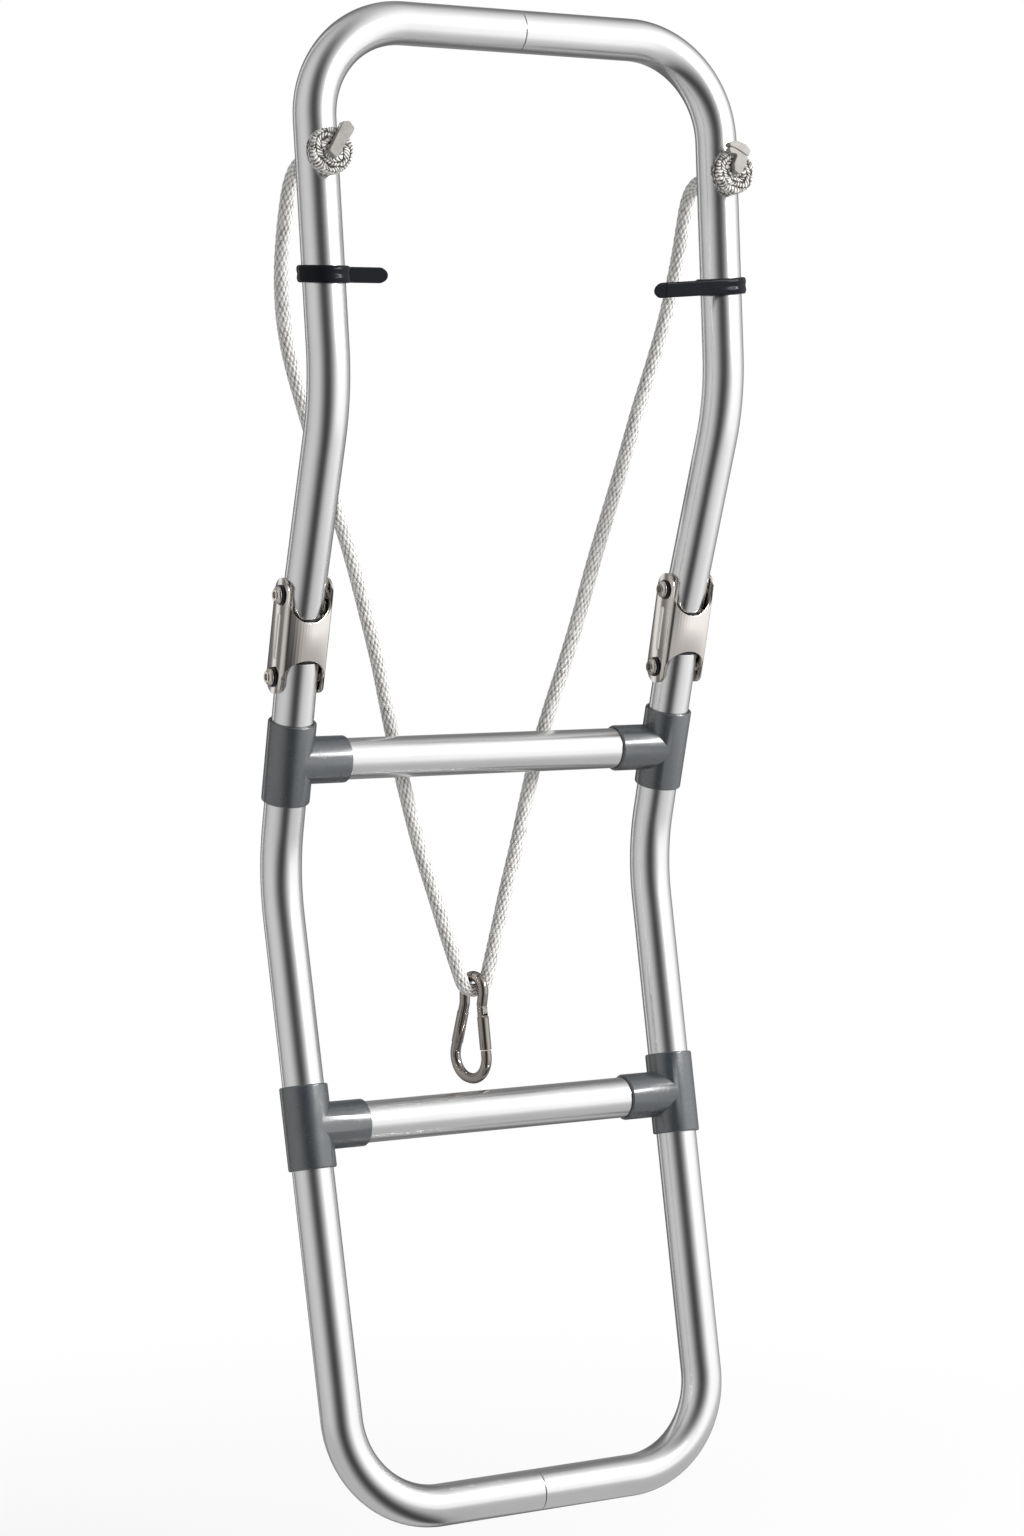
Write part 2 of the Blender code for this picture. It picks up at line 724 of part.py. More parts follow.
def rung_rivet_frame(level, side):
    """Frame on the rung axis at its rivet, local Z to the back."""
    centre = tee_frame(level, side).translation
    return Matrix.Translation(centre + Vector((-side * RUNG_RIVET_REACH, 0, 0))) @ BACK


def rivet_hole(name, frame):
    """Cutter for a rivet, through the back wall only."""
    return drum(name, RIVET_DIAMETER / 2 + BORE_PLAY, RIVET_DIAMETER, 2 * TUBE_DIAMETER,
                frame, cutter=True)


def rivet(name, frame, tube_radius, tube_wall, finish):
    """Blind rivet through a tee and a tube, from behind."""
    under_head = tube_radius + GAP + TEE_WALL + GAP
    end = tube_radius - tube_wall - RIVET_GRIP_SPARE
    shank = RIVET_DIAMETER / 2
    head = dome(RIVET_DOME, RIVET_HEAD_DIAMETER / 2, under_head, RIVET_HEAD_HEIGHT)
    profile = [*reversed(head), (shank, under_head), (shank, end), (0, end)]
    made = turned(name, profile, frame, SMALL_STEPS)
    made.data.materials.append(finish)
    return made


# Straps


def storage_strap(side, finish):
    """Rubber strap: a ring round the rail and a tail that points across the ladder."""
    name = f"storage_strap_{side_name(side)}"
    frame = leg_frame(side, TOP, UPPER_TILT, STRAP_DROP)
    inner = TUBE_RADIUS + GAP
    outer = inner + STRAP_THICKNESS
    ring = plate(name, [circle(outer, FINE_STEPS), circle(inner, FINE_STEPS)], STRAP_WIDTH, frame)
    middle = -side * (inner + outer) / 2
    tip = STRAP_WIDTH / 2 - STRAP_TAIL_STEP
    end = STRAP_REACH[side] - tip
    outline = [(STRAP_TAIL_START, tip), (STRAP_TAIL_START, -tip)]
    outline += circle(tip, END_STEPS, -math.pi / 2, math.pi / 2, (end, 0))
    flip = Matrix.Rotation(math.pi, 4, "Z") if side > 0 else Matrix()
    hang = Matrix.Rotation(STRAP_TAIL_HANG[side], 4, "Y")
    stand = Matrix.Translation((0, middle, STRAP_TAIL_LIFT[side])) @ hang @ flip @ FRONT
    thickness = STRAP_THICKNESS - 2 * STRAP_TAIL_STEP
    join(ring, plate(f"{name}_tail", [outline], thickness, frame @ stand, cutter=True))
    ring.data.materials.append(finish)
    return ring


# Rope


def knot_faces():
    """Distances from the rail axis, along the rope hole, of the knot's back end and disc."""
    return TUBE_RADIUS + KNOT_TAIL, TUBE_RADIUS + GAP


def rope_knot(side, finish):
    """Stopper knot: a disc in front of the rail, its shank in the hole and the rope's end."""
    name = f"rope_knot_{side_name(side)}"
    frame = rope_frame(side)
    back, seat = knot_faces()
    disc = KNOT_DIAMETER / 2
    front = -seat - KNOT_THICKNESS
    profile = [(0, back), (ROPE_RADIUS, back), (ROPE_RADIUS, -seat), (disc - KNOT_RIM, -seat),
               (disc, -seat - KNOT_RIM), (disc, front + KNOT_RIM), (disc - KNOT_RIM, front),
               (0, front - KNOT_CROWN)]
    knot = turned(name, profile, frame)
    bars = LEFT_TAB if side < 0 else RIGHT_TAB
    for index, (start, end, height) in enumerate(bars, start=1):
        join(knot, knot_tab(f"{name}_tab_{index}", frame, front, start, end, height))
    knot.data.materials.append(finish)
    return knot


def knot_tab(name, frame, front, start, end, height):
    """A bar of the sealed rope end on the knot's face, from start to end; local Y is down."""
    run = Vector(end) - Vector(start)
    middle = (Vector(start) + Vector(end)) / 2
    outline = stadium(run.length / 2, TAB_WIDTH / 2)
    turn = Matrix.Rotation(math.atan2(run.y, run.x) - math.pi / 2, 4, "Z")
    lift = Matrix.Translation((middle.x, middle.y, front + (TAB_SINK - height) / 2))
    return plate(name, [outline], height + TAB_SINK, frame @ lift @ turn, cutter=True)


def rope_exit(side):
    """The rope's first point behind the knot and the direction it leaves in."""
    frame = rope_frame(side)
    back = knot_faces()[0]
    direction = frame.to_3x3() @ Vector((0, 0, 1))
    return frame.translation + (back + GAP) * direction, direction


def rope_route():
    """The rope's own route points from the left exit through the bight to the right exit."""
    first, direction = rope_exit(-1)
    left = [first + share * ROPE_DIAMETER * direction for share in (0, 0.5, 1)]
    left += [Vector(point) for point in ROPE_ROUTE]
    bight = []
    for step in range(BIGHT_STEPS + 1):
        angle = BIGHT_HALF_ANGLE * (2 * step / BIGHT_STEPS - 1)
        offset = Vector((math.sin(angle), 0, -math.cos(angle)))
        bight.append(BIGHT_CENTRE + BIGHT_RADIUS * offset)
    right = [Vector((-point.x, point.y, point.z)) for point in reversed(left)]
    return left + bight + right


def smooth_curve(route, pieces=12):
    """Many points on a smooth curve through the route's points."""
    ends = [2 * route[0] - route[1], *route, 2 * route[-1] - route[-2]]
    points = []
    for index in range(1, len(ends) - 2):
        before, start, end, after = ends[index - 1:index + 3]
        span = (end - start).length
        leave = span * (end - before) / ((end - start).length + (start - before).length)
        arrive = span * (after - start) / ((after - end).length + (end - start).length)
        for piece in range(pieces):
            t = piece / pieces
            points.append((2 * t**3 - 3 * t**2 + 1) * start + (t**3 - 2 * t**2 + t) * leave
                          + (3 * t**2 - 2 * t**3) * end + (t**3 - t**2) * arrive)
    points.append(route[-1])
    return points


def thinned(points):
    """Keep a point after each step of length or of turning."""
    kept = [points[0]]
    since = 0.0
    heading = points[1] - points[0]
    for before, point, after in zip(points, points[1:], points[2:]):
        since += (point - before).length
        if since >= ROPE_STEP or heading.angle(after - point) >= ROPE_TURN:
            kept.append(point)
            since = 0.0
            heading = after - point
    kept.append(points[-1])
    return kept


def rope(finish):
    """The rope from knot to knot, hanging behind the ladder."""
    made = rod("rope", thinned(smooth_curve(rope_route())), ROPE_RADIUS, resolution=2)
    made.data.materials.append(finish)
    return made


# Snap hook

BIGHT_APEX = BIGHT_CENTRE - Vector((0, 0, BIGHT_RADIUS))
HOOK_FRAME = (Matrix.Translation(BIGHT_APEX) @ Matrix.Rotation(HOOK_TURN, 4, "Z")
              @ Matrix.Rotation(HOOK_HANG, 4, "Y"))
HOOK_EYE_TOP = ROPE_RADIUS + HOOK_EYE_PLAY + HOOK_WIRE / 2


def leg_point(height, side=1):
    """Point on the hook's straight leg at a height, in the hook's plane."""
    share = (height - HOOK_LEG_TOP.z) / (HOOK_LEG_BOTTOM.z - HOOK_LEG_TOP.z)
    point = HOOK_LEG_TOP.lerp(HOOK_LEG_BOTTOM, share)
    return Vector((side * point.x, 0, height))


def gate_frame():
    """Frame on the gate's pin, local Z up along the gate, local Y along the pin."""
    pivot = leg_point(GATE_PIVOT_HEIGHT)
    lean = (HOOK_LEG_TOP - HOOK_LEG_BOTTOM).normalized()
    return HOOK_FRAME @ Matrix.Translation(pivot) @ Matrix.Rotation(
        math.atan2(lean.x, lean.z), 4, "Y")


def hook_path():
    """Centreline of the hook's wire from the nose round to the shoulder."""
    lean = (HOOK_LEG_TOP - HOOK_LEG_BOTTOM).normalized()
    pivot = leg_point(GATE_PIVOT_HEIGHT)
    nose = pivot - (GATE_LENGTH - GATE_TOP + GATE_GAP) * lean
    shoulder = pivot + HOOK_SHOULDER * lean
    eye = HOOK_EYE_HALF_WIDTH
    corners = [nose, leg_point(HOOK_BASE), leg_point(HOOK_BASE, -1),
               leg_point(HOOK_LEG_TOP.z, -1), Vector((-eye, 0, HOOK_EYE_TOP)),
               Vector((eye, 0, HOOK_EYE_TOP)), shoulder]
    radii = [HOOK_BASE_RADIUS, HOOK_BASE_RADIUS, HOOK_WAIST_RADIUS, HOOK_EYE_RADIUS,
             HOOK_EYE_RADIUS]
    return fillet_path(corners, radii, WIRE_ARC_STEP)


def carabiner_body(finish):
    """The hook's bent wire with its spine barrel and the tongue that holds the gate."""
    body = rod("carabiner_body", hook_path(), HOOK_WIRE / 2, HOOK_FRAME, 3)
    mirrored = HOOK_FRAME @ Matrix.Translation(leg_point(GATE_PIVOT_HEIGHT, -1))
    lean = (HOOK_LEG_TOP - HOOK_LEG_BOTTOM).normalized()
    spine = mirrored @ Matrix.Rotation(-math.atan2(lean.x, lean.z), 4, "Y")
    neck = GATE_TOP - GATE_NECK_LENGTH
    join(body, drum("carabiner_spine_barrel", HOOK_BARREL / 2, GATE_TOP - GATE_LENGTH, neck,
                    spine, cutter=True))
    frame = gate_frame()
    outline = [(TONGUE_RADIUS, TONGUE_LENGTH), (-TONGUE_RADIUS, TONGUE_LENGTH)]
    outline += circle(TONGUE_RADIUS, END_STEPS, math.pi, 2 * math.pi)
    join(body, plate("carabiner_tongue", [outline], TONGUE_THICKNESS, frame @ FRONT,
                     cutter=True))
    cut(body, pin_hole("carabiner_body_pin_hole", frame))
    body.data.materials.append(finish)
    return body


def pin_hole(name, frame):
    """Cutter for the gate's pin."""
    radius = PIN_DIAMETER / 2 + PIN_PLAY
    return drum(name, radius, -PIN_LENGTH, PIN_LENGTH, frame @ BACK, cutter=True)


def carabiner_gate(finish):
    """The sprung gate: a turned bar, slotted for the tongue and bored for the spring."""
    frame = gate_frame()
    low = GATE_TOP - GATE_LENGTH
    neck = GATE_NECK / 2
    barrel = HOOK_BARREL / 2
    step = GATE_TOP - GATE_NECK_LENGTH
    profile = [(0, GATE_TOP), (neck - GATE_BEVEL, GATE_TOP), (neck, GATE_TOP - GATE_BEVEL),
               (neck, step), (barrel, step), (barrel, low + GATE_BEVEL),
               (barrel - GATE_BEVEL, low), (0, low)]
    gate = turned("carabiner_gate", profile, frame)
    cut(gate, drum("carabiner_gate_bore", GATE_BORE / 2, low + GATE_FLOOR, 2 * GATE_TOP,
                   frame, cutter=True))
    half = TONGUE_THICKNESS / 2 + SLOT_PLAY
    slot_low = Vector((-2 * barrel, -half, -(TONGUE_RADIUS + SLOT_FLOOR_PLAY)))
    slot_high = Vector((2 * barrel, half, 2 * GATE_TOP))
    cut(gate, block("carabiner_gate_slot", slot_low, slot_high, frame, cutter=True))
    cut(gate, pin_hole("carabiner_gate_pin_hole", frame))
    gate.data.materials.append(finish)
    return gate


def carabiner_pin(finish):
    """The pin that the gate turns on."""
    pin = drum("carabiner_pin", PIN_DIAMETER / 2, -PIN_LENGTH / 2, PIN_LENGTH / 2,
               gate_frame() @ BACK)
    pin.data.materials.append(finish)
    return pin


def carabiner_spring(finish):
    """The compression spring between the tongue and the bottom of the gate's bore."""
    edge = GAP + SPRING_WIRE / 2
    top = -TONGUE_RADIUS - edge
    low = GATE_TOP - GATE_LENGTH + GATE_FLOOR + edge
    radius = SPRING_DIAMETER / 2
    steps = SPRING_TURNS * SPRING_STEPS
    points = []
    for step in range(steps + 1):
        angle = 2 * math.pi * step / SPRING_STEPS
        height = low + (top - low) * step / steps
        points.append(Vector((radius * math.cos(angle), radius * math.sin(angle), height)))
    spring = rod("carabiner_spring", points, SPRING_WIRE / 2, gate_frame(), 1)
    spring.data.materials.append(finish)
    return spring


# Assembly


def finishes():
    """All materials of the ladder by name."""
    return {
        "aluminium": material("satin_aluminium", (0.62, 0.62, 0.62), 1.0, 0.30),
        "stainless": material("polished_stainless", (0.52, 0.49, 0.46), 1.0, 0.22),
        "fitting": material("grey_fitting", (0.095, 0.110, 0.125), 0.0, 0.40),
        "screw": material("screw_steel", (0.48, 0.45, 0.41), 1.0, 0.28),
        "black": material("black_plastic", (0.012, 0.013, 0.015), 0.0, 0.35),
        "strap": material("black_strap", (0.016, 0.018, 0.021), 0.0, 0.32),
        "rope": material("white_rope", (0.72, 0.71, 0.69), 0.0, 0.75),
        "hook": material("dark_steel", (0.30, 0.28, 0.26), 1.0, 0.15),
    }


def axis_empty(name, location):
    """An empty on a joint's axis."""
    empty = bpy.data.objects.new(name, None)
    empty.empty_display_size = 0.02
    empty.matrix_world = Matrix.Translation(location)
    PARTS.objects.link(empty)
    return empty


def carry(parent, children):
    """Parent the children so that they stay where they are."""
    bpy.context.view_layer.update()
    for child in children:
        child.parent = parent
        child.matrix_parent_inverse = parent.matrix_world.inverted()


def build_upper_frame(look):
    """The hoop that hangs from the hand, with its sleeve, plugs, knots and rope."""
    pieces = [joint_sleeve("top_joint_sleeve", TOP, look["aluminium"]), rope(look["rope"])]
    for side in (-1, 1):
        label = side_name(side)
        pieces.append(upper_rail(side, look["aluminium"]))
        pieces.append(rope_knot(side, look["rope"]))
        pieces.append(end_plug(f"end_plug_upper_{label}", side, UPPER_PIVOT,
                               going_down(UPPER_MID_TILT), look["black"]))
    return pieces


def build_links(look):
    """Both channels with their screws, washers and nuts."""
    pieces = []
    for side in (-1, 1):
        label = side_name(side)
        pieces.append(hinge_channel(side, look["stainless"]))
        for level, pivot in (("upper", UPPER_PIVOT), ("lower", LOWER_PIVOT)):
            centre = pivot_point(side, pivot)
            pieces.append(pivot_screw(f"pivot_screw_{level}_{label}", centre, look["screw"]))
            pieces.append(pivot_washer(f"pivot_washer_{level}_{label}", centre, look["black"]))
            pieces.append(pivot_nut(f"pivot_nut_{level}_{label}", centre, look["screw"]))
    return pieces


def build_lower_frame(look):
    """The lower hoop with its sleeve, plugs, tees, rungs and rivets."""
    pieces = [joint_sleeve("bottom_joint_sleeve", BOTTOM, look["aluminium"])]
    for side in (-1, 1):
        label = side_name(side)
        pieces.append(lower_rail(side, look["aluminium"]))
        pieces.append(end_plug(f"end_plug_lower_{label}", side, LOWER_PIVOT,
                               -going_down(LOWER_MID_TILT), look["black"]))
        for level in ("upper", "lower"):
            pieces.append(tee(level, side, look["fitting"]))
            pieces.append(rivet(f"tee_rivet_rail_{level}_{label}", rail_rivet_frame(level, side),
                                TUBE_RADIUS, TUBE_WALL, look["screw"]))
            pieces.append(rivet(f"tee_rivet_rung_{level}_{label}", rung_rivet_frame(level, side),
                                RUNG_RADIUS, RUNG_WALL, look["screw"]))
    for level in ("upper", "lower"):
        pieces.append(rung(level, look["aluminium"]))
    return pieces


def build_ladder():
    """Make every piece and hang it from its joint."""
    look = finishes()
    root = axis_empty("hand_loop", TOP)
    carry(root, build_upper_frame(look))
    links = axis_empty("hinge_upper_axis", UPPER_PIVOT)
    carry(links, build_links(look))
    lower = axis_empty("hinge_lower_axis", LOWER_PIVOT)
    carry(lower, build_lower_frame(look))
    carry(links, [lower])
    carry(root, [links])
    for side in (-1, 1):
        spot = leg_frame(side, TOP, UPPER_TILT, STRAP_DROP).translation
        swivel = axis_empty(f"strap_{side_name(side)}_axis", spot)
        carry(swivel, [storage_strap(side, look["strap"])])
        carry(root, [swivel])
    swing = axis_empty("carabiner_swing_axis", BIGHT_APEX)
    carry(swing, [carabiner_body(look["hook"]), carabiner_pin(look["screw"])])
    gate = axis_empty("carabiner_gate_axis", gate_frame().translation)
    carry(gate, [carabiner_gate(look["hook"]), carabiner_spring(look["screw"])])
    carry(swing, [gate])
    carry(root, [swing])


build_ladder()
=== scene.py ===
"""Looks of a folding boarding ladder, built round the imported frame."""

from math import atan2, ceil, cos, exp, floor, hypot, pi, radians, sin, sqrt, tan

import bmesh
import bpy
import numpy as np
from mathutils import Matrix, Vector, noise

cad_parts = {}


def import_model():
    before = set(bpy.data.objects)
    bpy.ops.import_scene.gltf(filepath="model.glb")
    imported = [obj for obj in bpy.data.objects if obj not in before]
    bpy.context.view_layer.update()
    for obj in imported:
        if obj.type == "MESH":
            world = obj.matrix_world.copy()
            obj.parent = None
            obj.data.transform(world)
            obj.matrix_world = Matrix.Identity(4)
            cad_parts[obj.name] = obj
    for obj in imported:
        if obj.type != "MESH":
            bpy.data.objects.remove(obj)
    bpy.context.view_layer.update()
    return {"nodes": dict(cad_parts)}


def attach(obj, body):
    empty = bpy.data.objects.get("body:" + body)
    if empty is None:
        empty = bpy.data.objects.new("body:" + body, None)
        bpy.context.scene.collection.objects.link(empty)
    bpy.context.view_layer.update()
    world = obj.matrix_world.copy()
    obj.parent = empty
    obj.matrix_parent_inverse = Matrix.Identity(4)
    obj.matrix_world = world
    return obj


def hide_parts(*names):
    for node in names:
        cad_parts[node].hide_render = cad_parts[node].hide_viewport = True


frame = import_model()

# The camera, from the fit of the photographed outlines
AZIMUTH = radians(28)
PITCH = radians(4.6)
CAMERA_PLACE = Vector((-0.9472, -1.7750, -0.2731))
FOCAL_PIXELS = 3368
LONG_SIDE_PIXELS = 1536
SENSOR = 36.0
FORWARD = Vector((sin(AZIMUTH) * cos(PITCH), cos(AZIMUTH) * cos(PITCH), -sin(PITCH)))
RIGHTWARD = Vector((cos(AZIMUTH), -sin(AZIMUTH), 0))

# Sizes shared with the CAD source
TUBE = 0.0125
WALL = 0.0015
TOP_SPACING = 0.2694
LEAN = radians(0.8)
CORNER = 0.058
UPPER_LEG, UPPER_TILT, UPPER_BEND_RADIUS = 0.2145, radians(-5.5), 0.120
UPPER_MID_LEG, UPPER_MID_TILT = 0.1235, radians(19.5)
LOWER_MID_LEG, LOWER_MID_TILT = 0.1233, radians(14.5)
LOWER_BEND_RADIUS, LOWER_LEG, LOWER_TILT = 0.110, 0.3827, radians(-13.5)
OVERRUN = 0.011
LINK = 0.050
GAP = 0.0003
SEAM = 0.0002
SHEET = 0.0015
INSIDE = TUBE + 0.0007
OUTSIDE = INSIDE + SHEET
ROPE_DROP, STRAP_DROP = 0.080, 0.1485
SIDES = {-1: "left", 1: "right"}
LEVELS = ("upper", "lower")


# Frames and paths

def going_down(tilt):
    """Unit vector down a leg that leans towards the rope side by tilt."""
    return Vector((0, sin(tilt), -cos(tilt)))


TOP = Vector((0, 0, 0))
UPPER_BEND = TOP + UPPER_LEG * going_down(UPPER_TILT)
UPPER_PIVOT = UPPER_BEND + UPPER_MID_LEG * going_down(UPPER_MID_TILT)
LOWER_PIVOT = UPPER_PIVOT + LINK * going_down(LOWER_MID_TILT)
LOWER_BEND = LOWER_PIVOT + LOWER_MID_LEG * going_down(LOWER_MID_TILT)
BOTTOM = LOWER_BEND + LOWER_LEG * going_down(LOWER_TILT)
HINGE_MIDDLE = (UPPER_PIVOT + LOWER_PIVOT) / 2
PIVOTS = {"upper": UPPER_PIVOT, "lower": LOWER_PIVOT}
# Where each rung's axis meets the rail: the leg's start, its tilt and the distance down it
RUNGS = {"upper": (LOWER_PIVOT, LOWER_MID_TILT, 0.0526), "lower": (LOWER_BEND, LOWER_TILT, 0.1531)}


def on_side(side, point):
    """The profile point moved out to the left (-1) or right (1) rail."""
    half = TOP_SPACING / 2 + point.z * tan(LEAN)
    return Vector((side * half, point.y, point.z))


def frame_at(origin, up):
    """Matrix at origin with local Z along up, local X along world X, local Y to the back."""
    z_axis = up.normalized()
    y_axis = z_axis.cross(Vector((1, 0, 0))).normalized()
    x_axis = y_axis.cross(z_axis)
    turn = Matrix((x_axis, y_axis, z_axis)).transposed().to_4x4()
    return Matrix.Translation(origin) @ turn


def leg_frame(side, start, tilt, distance):
    """Frame on a rail's axis, distance down the leg that begins at start."""
    lower = start + distance * going_down(tilt)
    place = on_side(side, lower)
    return frame_at(place, place - on_side(side, lower + going_down(tilt)))


def turned(degrees, axis):
    return Matrix.Rotation(radians(degrees), 4, axis)


def across(origin, side=1):
    """Frame with local Z along world X, towards side."""
    return Matrix.Translation(origin) @ turned(side * 90, "Y")


BACK, FRONT = turned(-90, "X"), turned(90, "X")


def arc_at(before, corner, after, radius, arc_step):
    """Points of the arc that rounds one corner."""
    back = (before - corner).normalized()
    ahead = (after - corner).normalized()
    turn = pi - back.angle(ahead)
    if turn < 0.001 or radius <= 0:
        return [corner]
    reach = radius * tan(turn / 2)
    centre = corner + (back + ahead).normalized() * (radius / cos(turn / 2))
    first = corner + back * reach - centre
    last = corner + ahead * reach - centre
    steps = max(2, ceil(turn / arc_step))
    points = []
    for step in range(steps + 1):
        share = step / steps
        blend = sin((1 - share) * turn) * first + sin(share * turn) * last
        points.append(centre + blend / sin(turn))
    return points


def fillet_path(corners, radii, arc_step=radians(3)):
    """Points along straight runs joined by arcs of the given radii."""
    points = [corners[0]]
    for index, radius in enumerate(radii, start=1):
        points += arc_at(*corners[index - 1:index + 2], radius, arc_step)
    points.append(corners[-1])
    return points


def lifted(outline):
    """The outline's points as vectors at height 0."""
    return [Vector((x, y, 0)) for x, y in outline]


def rounded(profile, radii, arc_step=radians(15)):
    """A flat outline of (x, y) points with its inner corners rounded."""
    return [(p.x, p.y) for p in fillet_path(lifted(profile), radii, arc_step)]


def rounded_loop(corners, radius, arc_step):
    """A closed outline with every corner rounded."""
    points, out = lifted(corners), []
    for i, point in enumerate(points):
        out += arc_at(points[i - 1], point, points[(i + 1) % len(points)], radius, arc_step)
    return [(p.x, p.y) for p in out]


def column(radius, low, high):
    """Profile of a plain cylinder, for a lathe."""
    return [(0, high), (radius, high), (radius, low), (0, low)]


def spaced(points, step):
    """The path with extra points, so that no straight run is longer than step."""
    out = [points[0]]
    for a, b in zip(points, points[1:]):
        pieces = max(1, ceil((b - a).length / step))
        out += [a.lerp(b, k / pieces) for k in range(1, pieces + 1)]
    return out


def lengths_along(points):
    """The distance along the path from its first point to each one."""
    out = [0.0]
    for a, b in zip(points, points[1:]):
        out.append(out[-1] + (b - a).length)
    return out


def frames_along(points, start_normal=Vector((0.3, 1, 0.2))):
    """Point, normal, binormal and tangent along a path, with the least twist."""
    last = len(points) - 1
    tangents = [(points[min(i + 1, last)] - points[max(i - 1, 0)]).normalized()
                for i in range(last + 1)]
    normal = (start_normal - start_normal.dot(tangents[0]) * tangents[0]).normalized()
    out = []
    for i, (point, tangent) in enumerate(zip(points, tangents)):
        if i:
            normal.rotate(tangents[i - 1].rotation_difference(tangent))
            normal = (normal - normal.dot(tangent) * tangent).normalized()
        out.append((point, normal.copy(), tangent.cross(normal), tangent))
    return out


# Meshes

def add(name, data):
    """A new object in the scene."""
    made = bpy.data.objects.new(name, data)
    bpy.context.scene.collection.objects.link(made)
    return made


def edit(target, change):
    """Open the target's mesh, let change work on it and put it back."""
    shape = bmesh.new()
    shape.from_mesh(target.data)
    change(shape)
    shape.to_mesh(target.data)
    shape.free()


def make(name, verts, faces, look, smooth=40, grain=None):
    """A mesh object, smooth shaded but for edges sharper than smooth degrees."""
    mesh = bpy.data.meshes.new(name)
    mesh.from_pydata([tuple(v) for v in verts], [], faces)
    if grain is not None:
        layer = mesh.attributes.new("grain", "FLOAT_VECTOR", "POINT")
        layer.data.foreach_set("vector", np.array(grain, np.float32).ravel())
    mesh.materials.append(look)
    made = add(name, mesh)
    edit(made, lambda shape: bmesh.ops.recalc_face_normals(shape, faces=shape.faces))
    shade(made, smooth)
    return made


def keep_ridges(made, heights):
    """Store the braid's height at each point, for the material."""
    layer = made.data.attributes.new("ridge", "FLOAT", "POINT")
    layer.data.foreach_set("value", np.array(heights, np.float32))


def shade(made, smooth):
    mesh = made.data
    mesh.polygons.foreach_set("use_smooth", [True] * len(mesh.polygons))
    mesh.set_sharp_from_angle(angle=radians(smooth))
    mesh.update()


def bridge(rings, count, closed=False):
    """Faces between rings of count points; closed joins the ends, or else they are capped."""
    faces = []
    for r in range(rings if closed else rings - 1):
        a, b = r * count, ((r + 1) % rings) * count
        for k in range(count):
            n = (k + 1) % count
            faces.append((a + k, a + n, b + n, b + k))
    if not closed:
        faces.append(tuple(range(count - 1, -1, -1)))
        faces.append(tuple(range((rings - 1) * count, rings * count)))
    return faces


def lathe(name, profile, matrix, look, steps=64, ring=False, smooth=40):
    """A turned piece; profile is (radius, height), from the top axis down the outer side."""
    rows, grain, faces = [], [], []
    for radius, height in profile:
        outline = [(0, 0)] if radius < 1e-7 else circle(radius, steps)
        rows.append((len(grain), len(outline)))
        grain += [(x, y, height) for x, y in outline]
    pairs = [*zip(rows, rows[1:]), *([(rows[-1], rows[0])] if ring else [])]
    for (a, count_a), (b, count_b) in pairs:
        for k in range(steps):
            n = (k + 1) % steps
            corners = (a + k % count_a, b + k % count_b, b + n % count_b, a + n % count_a)
            faces.append(tuple(dict.fromkeys(corners)))
    return make(name, [matrix @ Vector(p) for p in grain], faces, look, smooth, grain)


def pipe(name, points, outer, wall, look, lip=0.00025, steps=64):
    """A hollow tube along the points, open at both ends, with softened end edges."""
    marks, lengths = frames_along(points), lengths_along(points)
    inner, last = outer - wall, len(points) - 1
    rim = [(inner, 0), (outer - lip, 0), (outer - 0.3 * lip, 0.3 * lip), (outer, lip),
           (outer, 1.6 * lip), (outer, 4 * lip)]
    order = [(0, radius, shift) for radius, shift in rim]
    order += [(i, outer, 0) for i in range(1, last)]
    order += [(last, radius, -shift) for radius, shift in reversed(rim)]
    order += [(i, inner, 0) for i in range(last - 1, 0, -1)]
    verts, grain = [], []
    for i, radius, shift in order:
        point, normal, binormal, tangent = marks[i]
        for x, y in circle(radius, steps):
            verts.append(point + shift * tangent + x * normal + y * binormal)
            grain.append((x, y, lengths[i] + shift))
    return make(name, verts, bridge(len(order), steps, True), look, 40, grain)


def sweep(name, marks, section, look):
    """A solid with one section (normal, binormal) at every mark, or a list of them."""
    sections = section if isinstance(section[0], list) else [section] * len(marks)
    verts = []
    for (point, normal, binormal, _), outline in zip(marks, sections):
        verts += [point + x * normal + y * binormal for x, y in outline]
    return make(name, verts, bridge(len(marks), len(sections[0])), look)


def plate(name, outline, low, high, matrix, look, smooth=40, top=None):
    """A plate between two heights, with one outline (x, y) or a second one at its top."""
    verts = [matrix @ Vector((x, y, low)) for x, y in outline]
    verts += [matrix @ Vector((x, y, high)) for x, y in top or outline]
    return make(name, verts, bridge(2, len(outline)), look, smooth)


def circle(radius, steps, start=0.0, end=2 * pi, centre=(0, 0)):
    """Points of a circle, or of an arc with both its ends."""
    whole = abs(end - start) > 2 * pi - 0.001
    angles = [start + (end - start) * k / steps for k in range(steps if whole else steps + 1)]
    return [(centre[0] + radius * cos(a), centre[1] + radius * sin(a)) for a in angles]


def drum(name, radius, low, high, matrix, look, steps=96):
    return lathe(name, column(radius, low, high), matrix, look, steps)


def shaped(target, tool, operation="DIFFERENCE", smooth=40):
    """Cut the tool from the target or join it on, for good."""
    change = target.modifiers.new("shape", "BOOLEAN")
    change.operation = operation
    change.solver = "EXACT"
    change.object = tool
    settle(target, smooth)
    bpy.data.objects.remove(tool, do_unlink=True)
    return target


def settle(target, smooth=40):
    """Apply the target's modifiers."""
    bpy.context.view_layer.update()
    graph = bpy.context.evaluated_depsgraph_get()
    mesh = bpy.data.meshes.new_from_object(target.evaluated_get(graph))
    target.modifiers.clear()
    target.data = mesh
    if smooth is not None:
        shade(target, smooth)
    return target


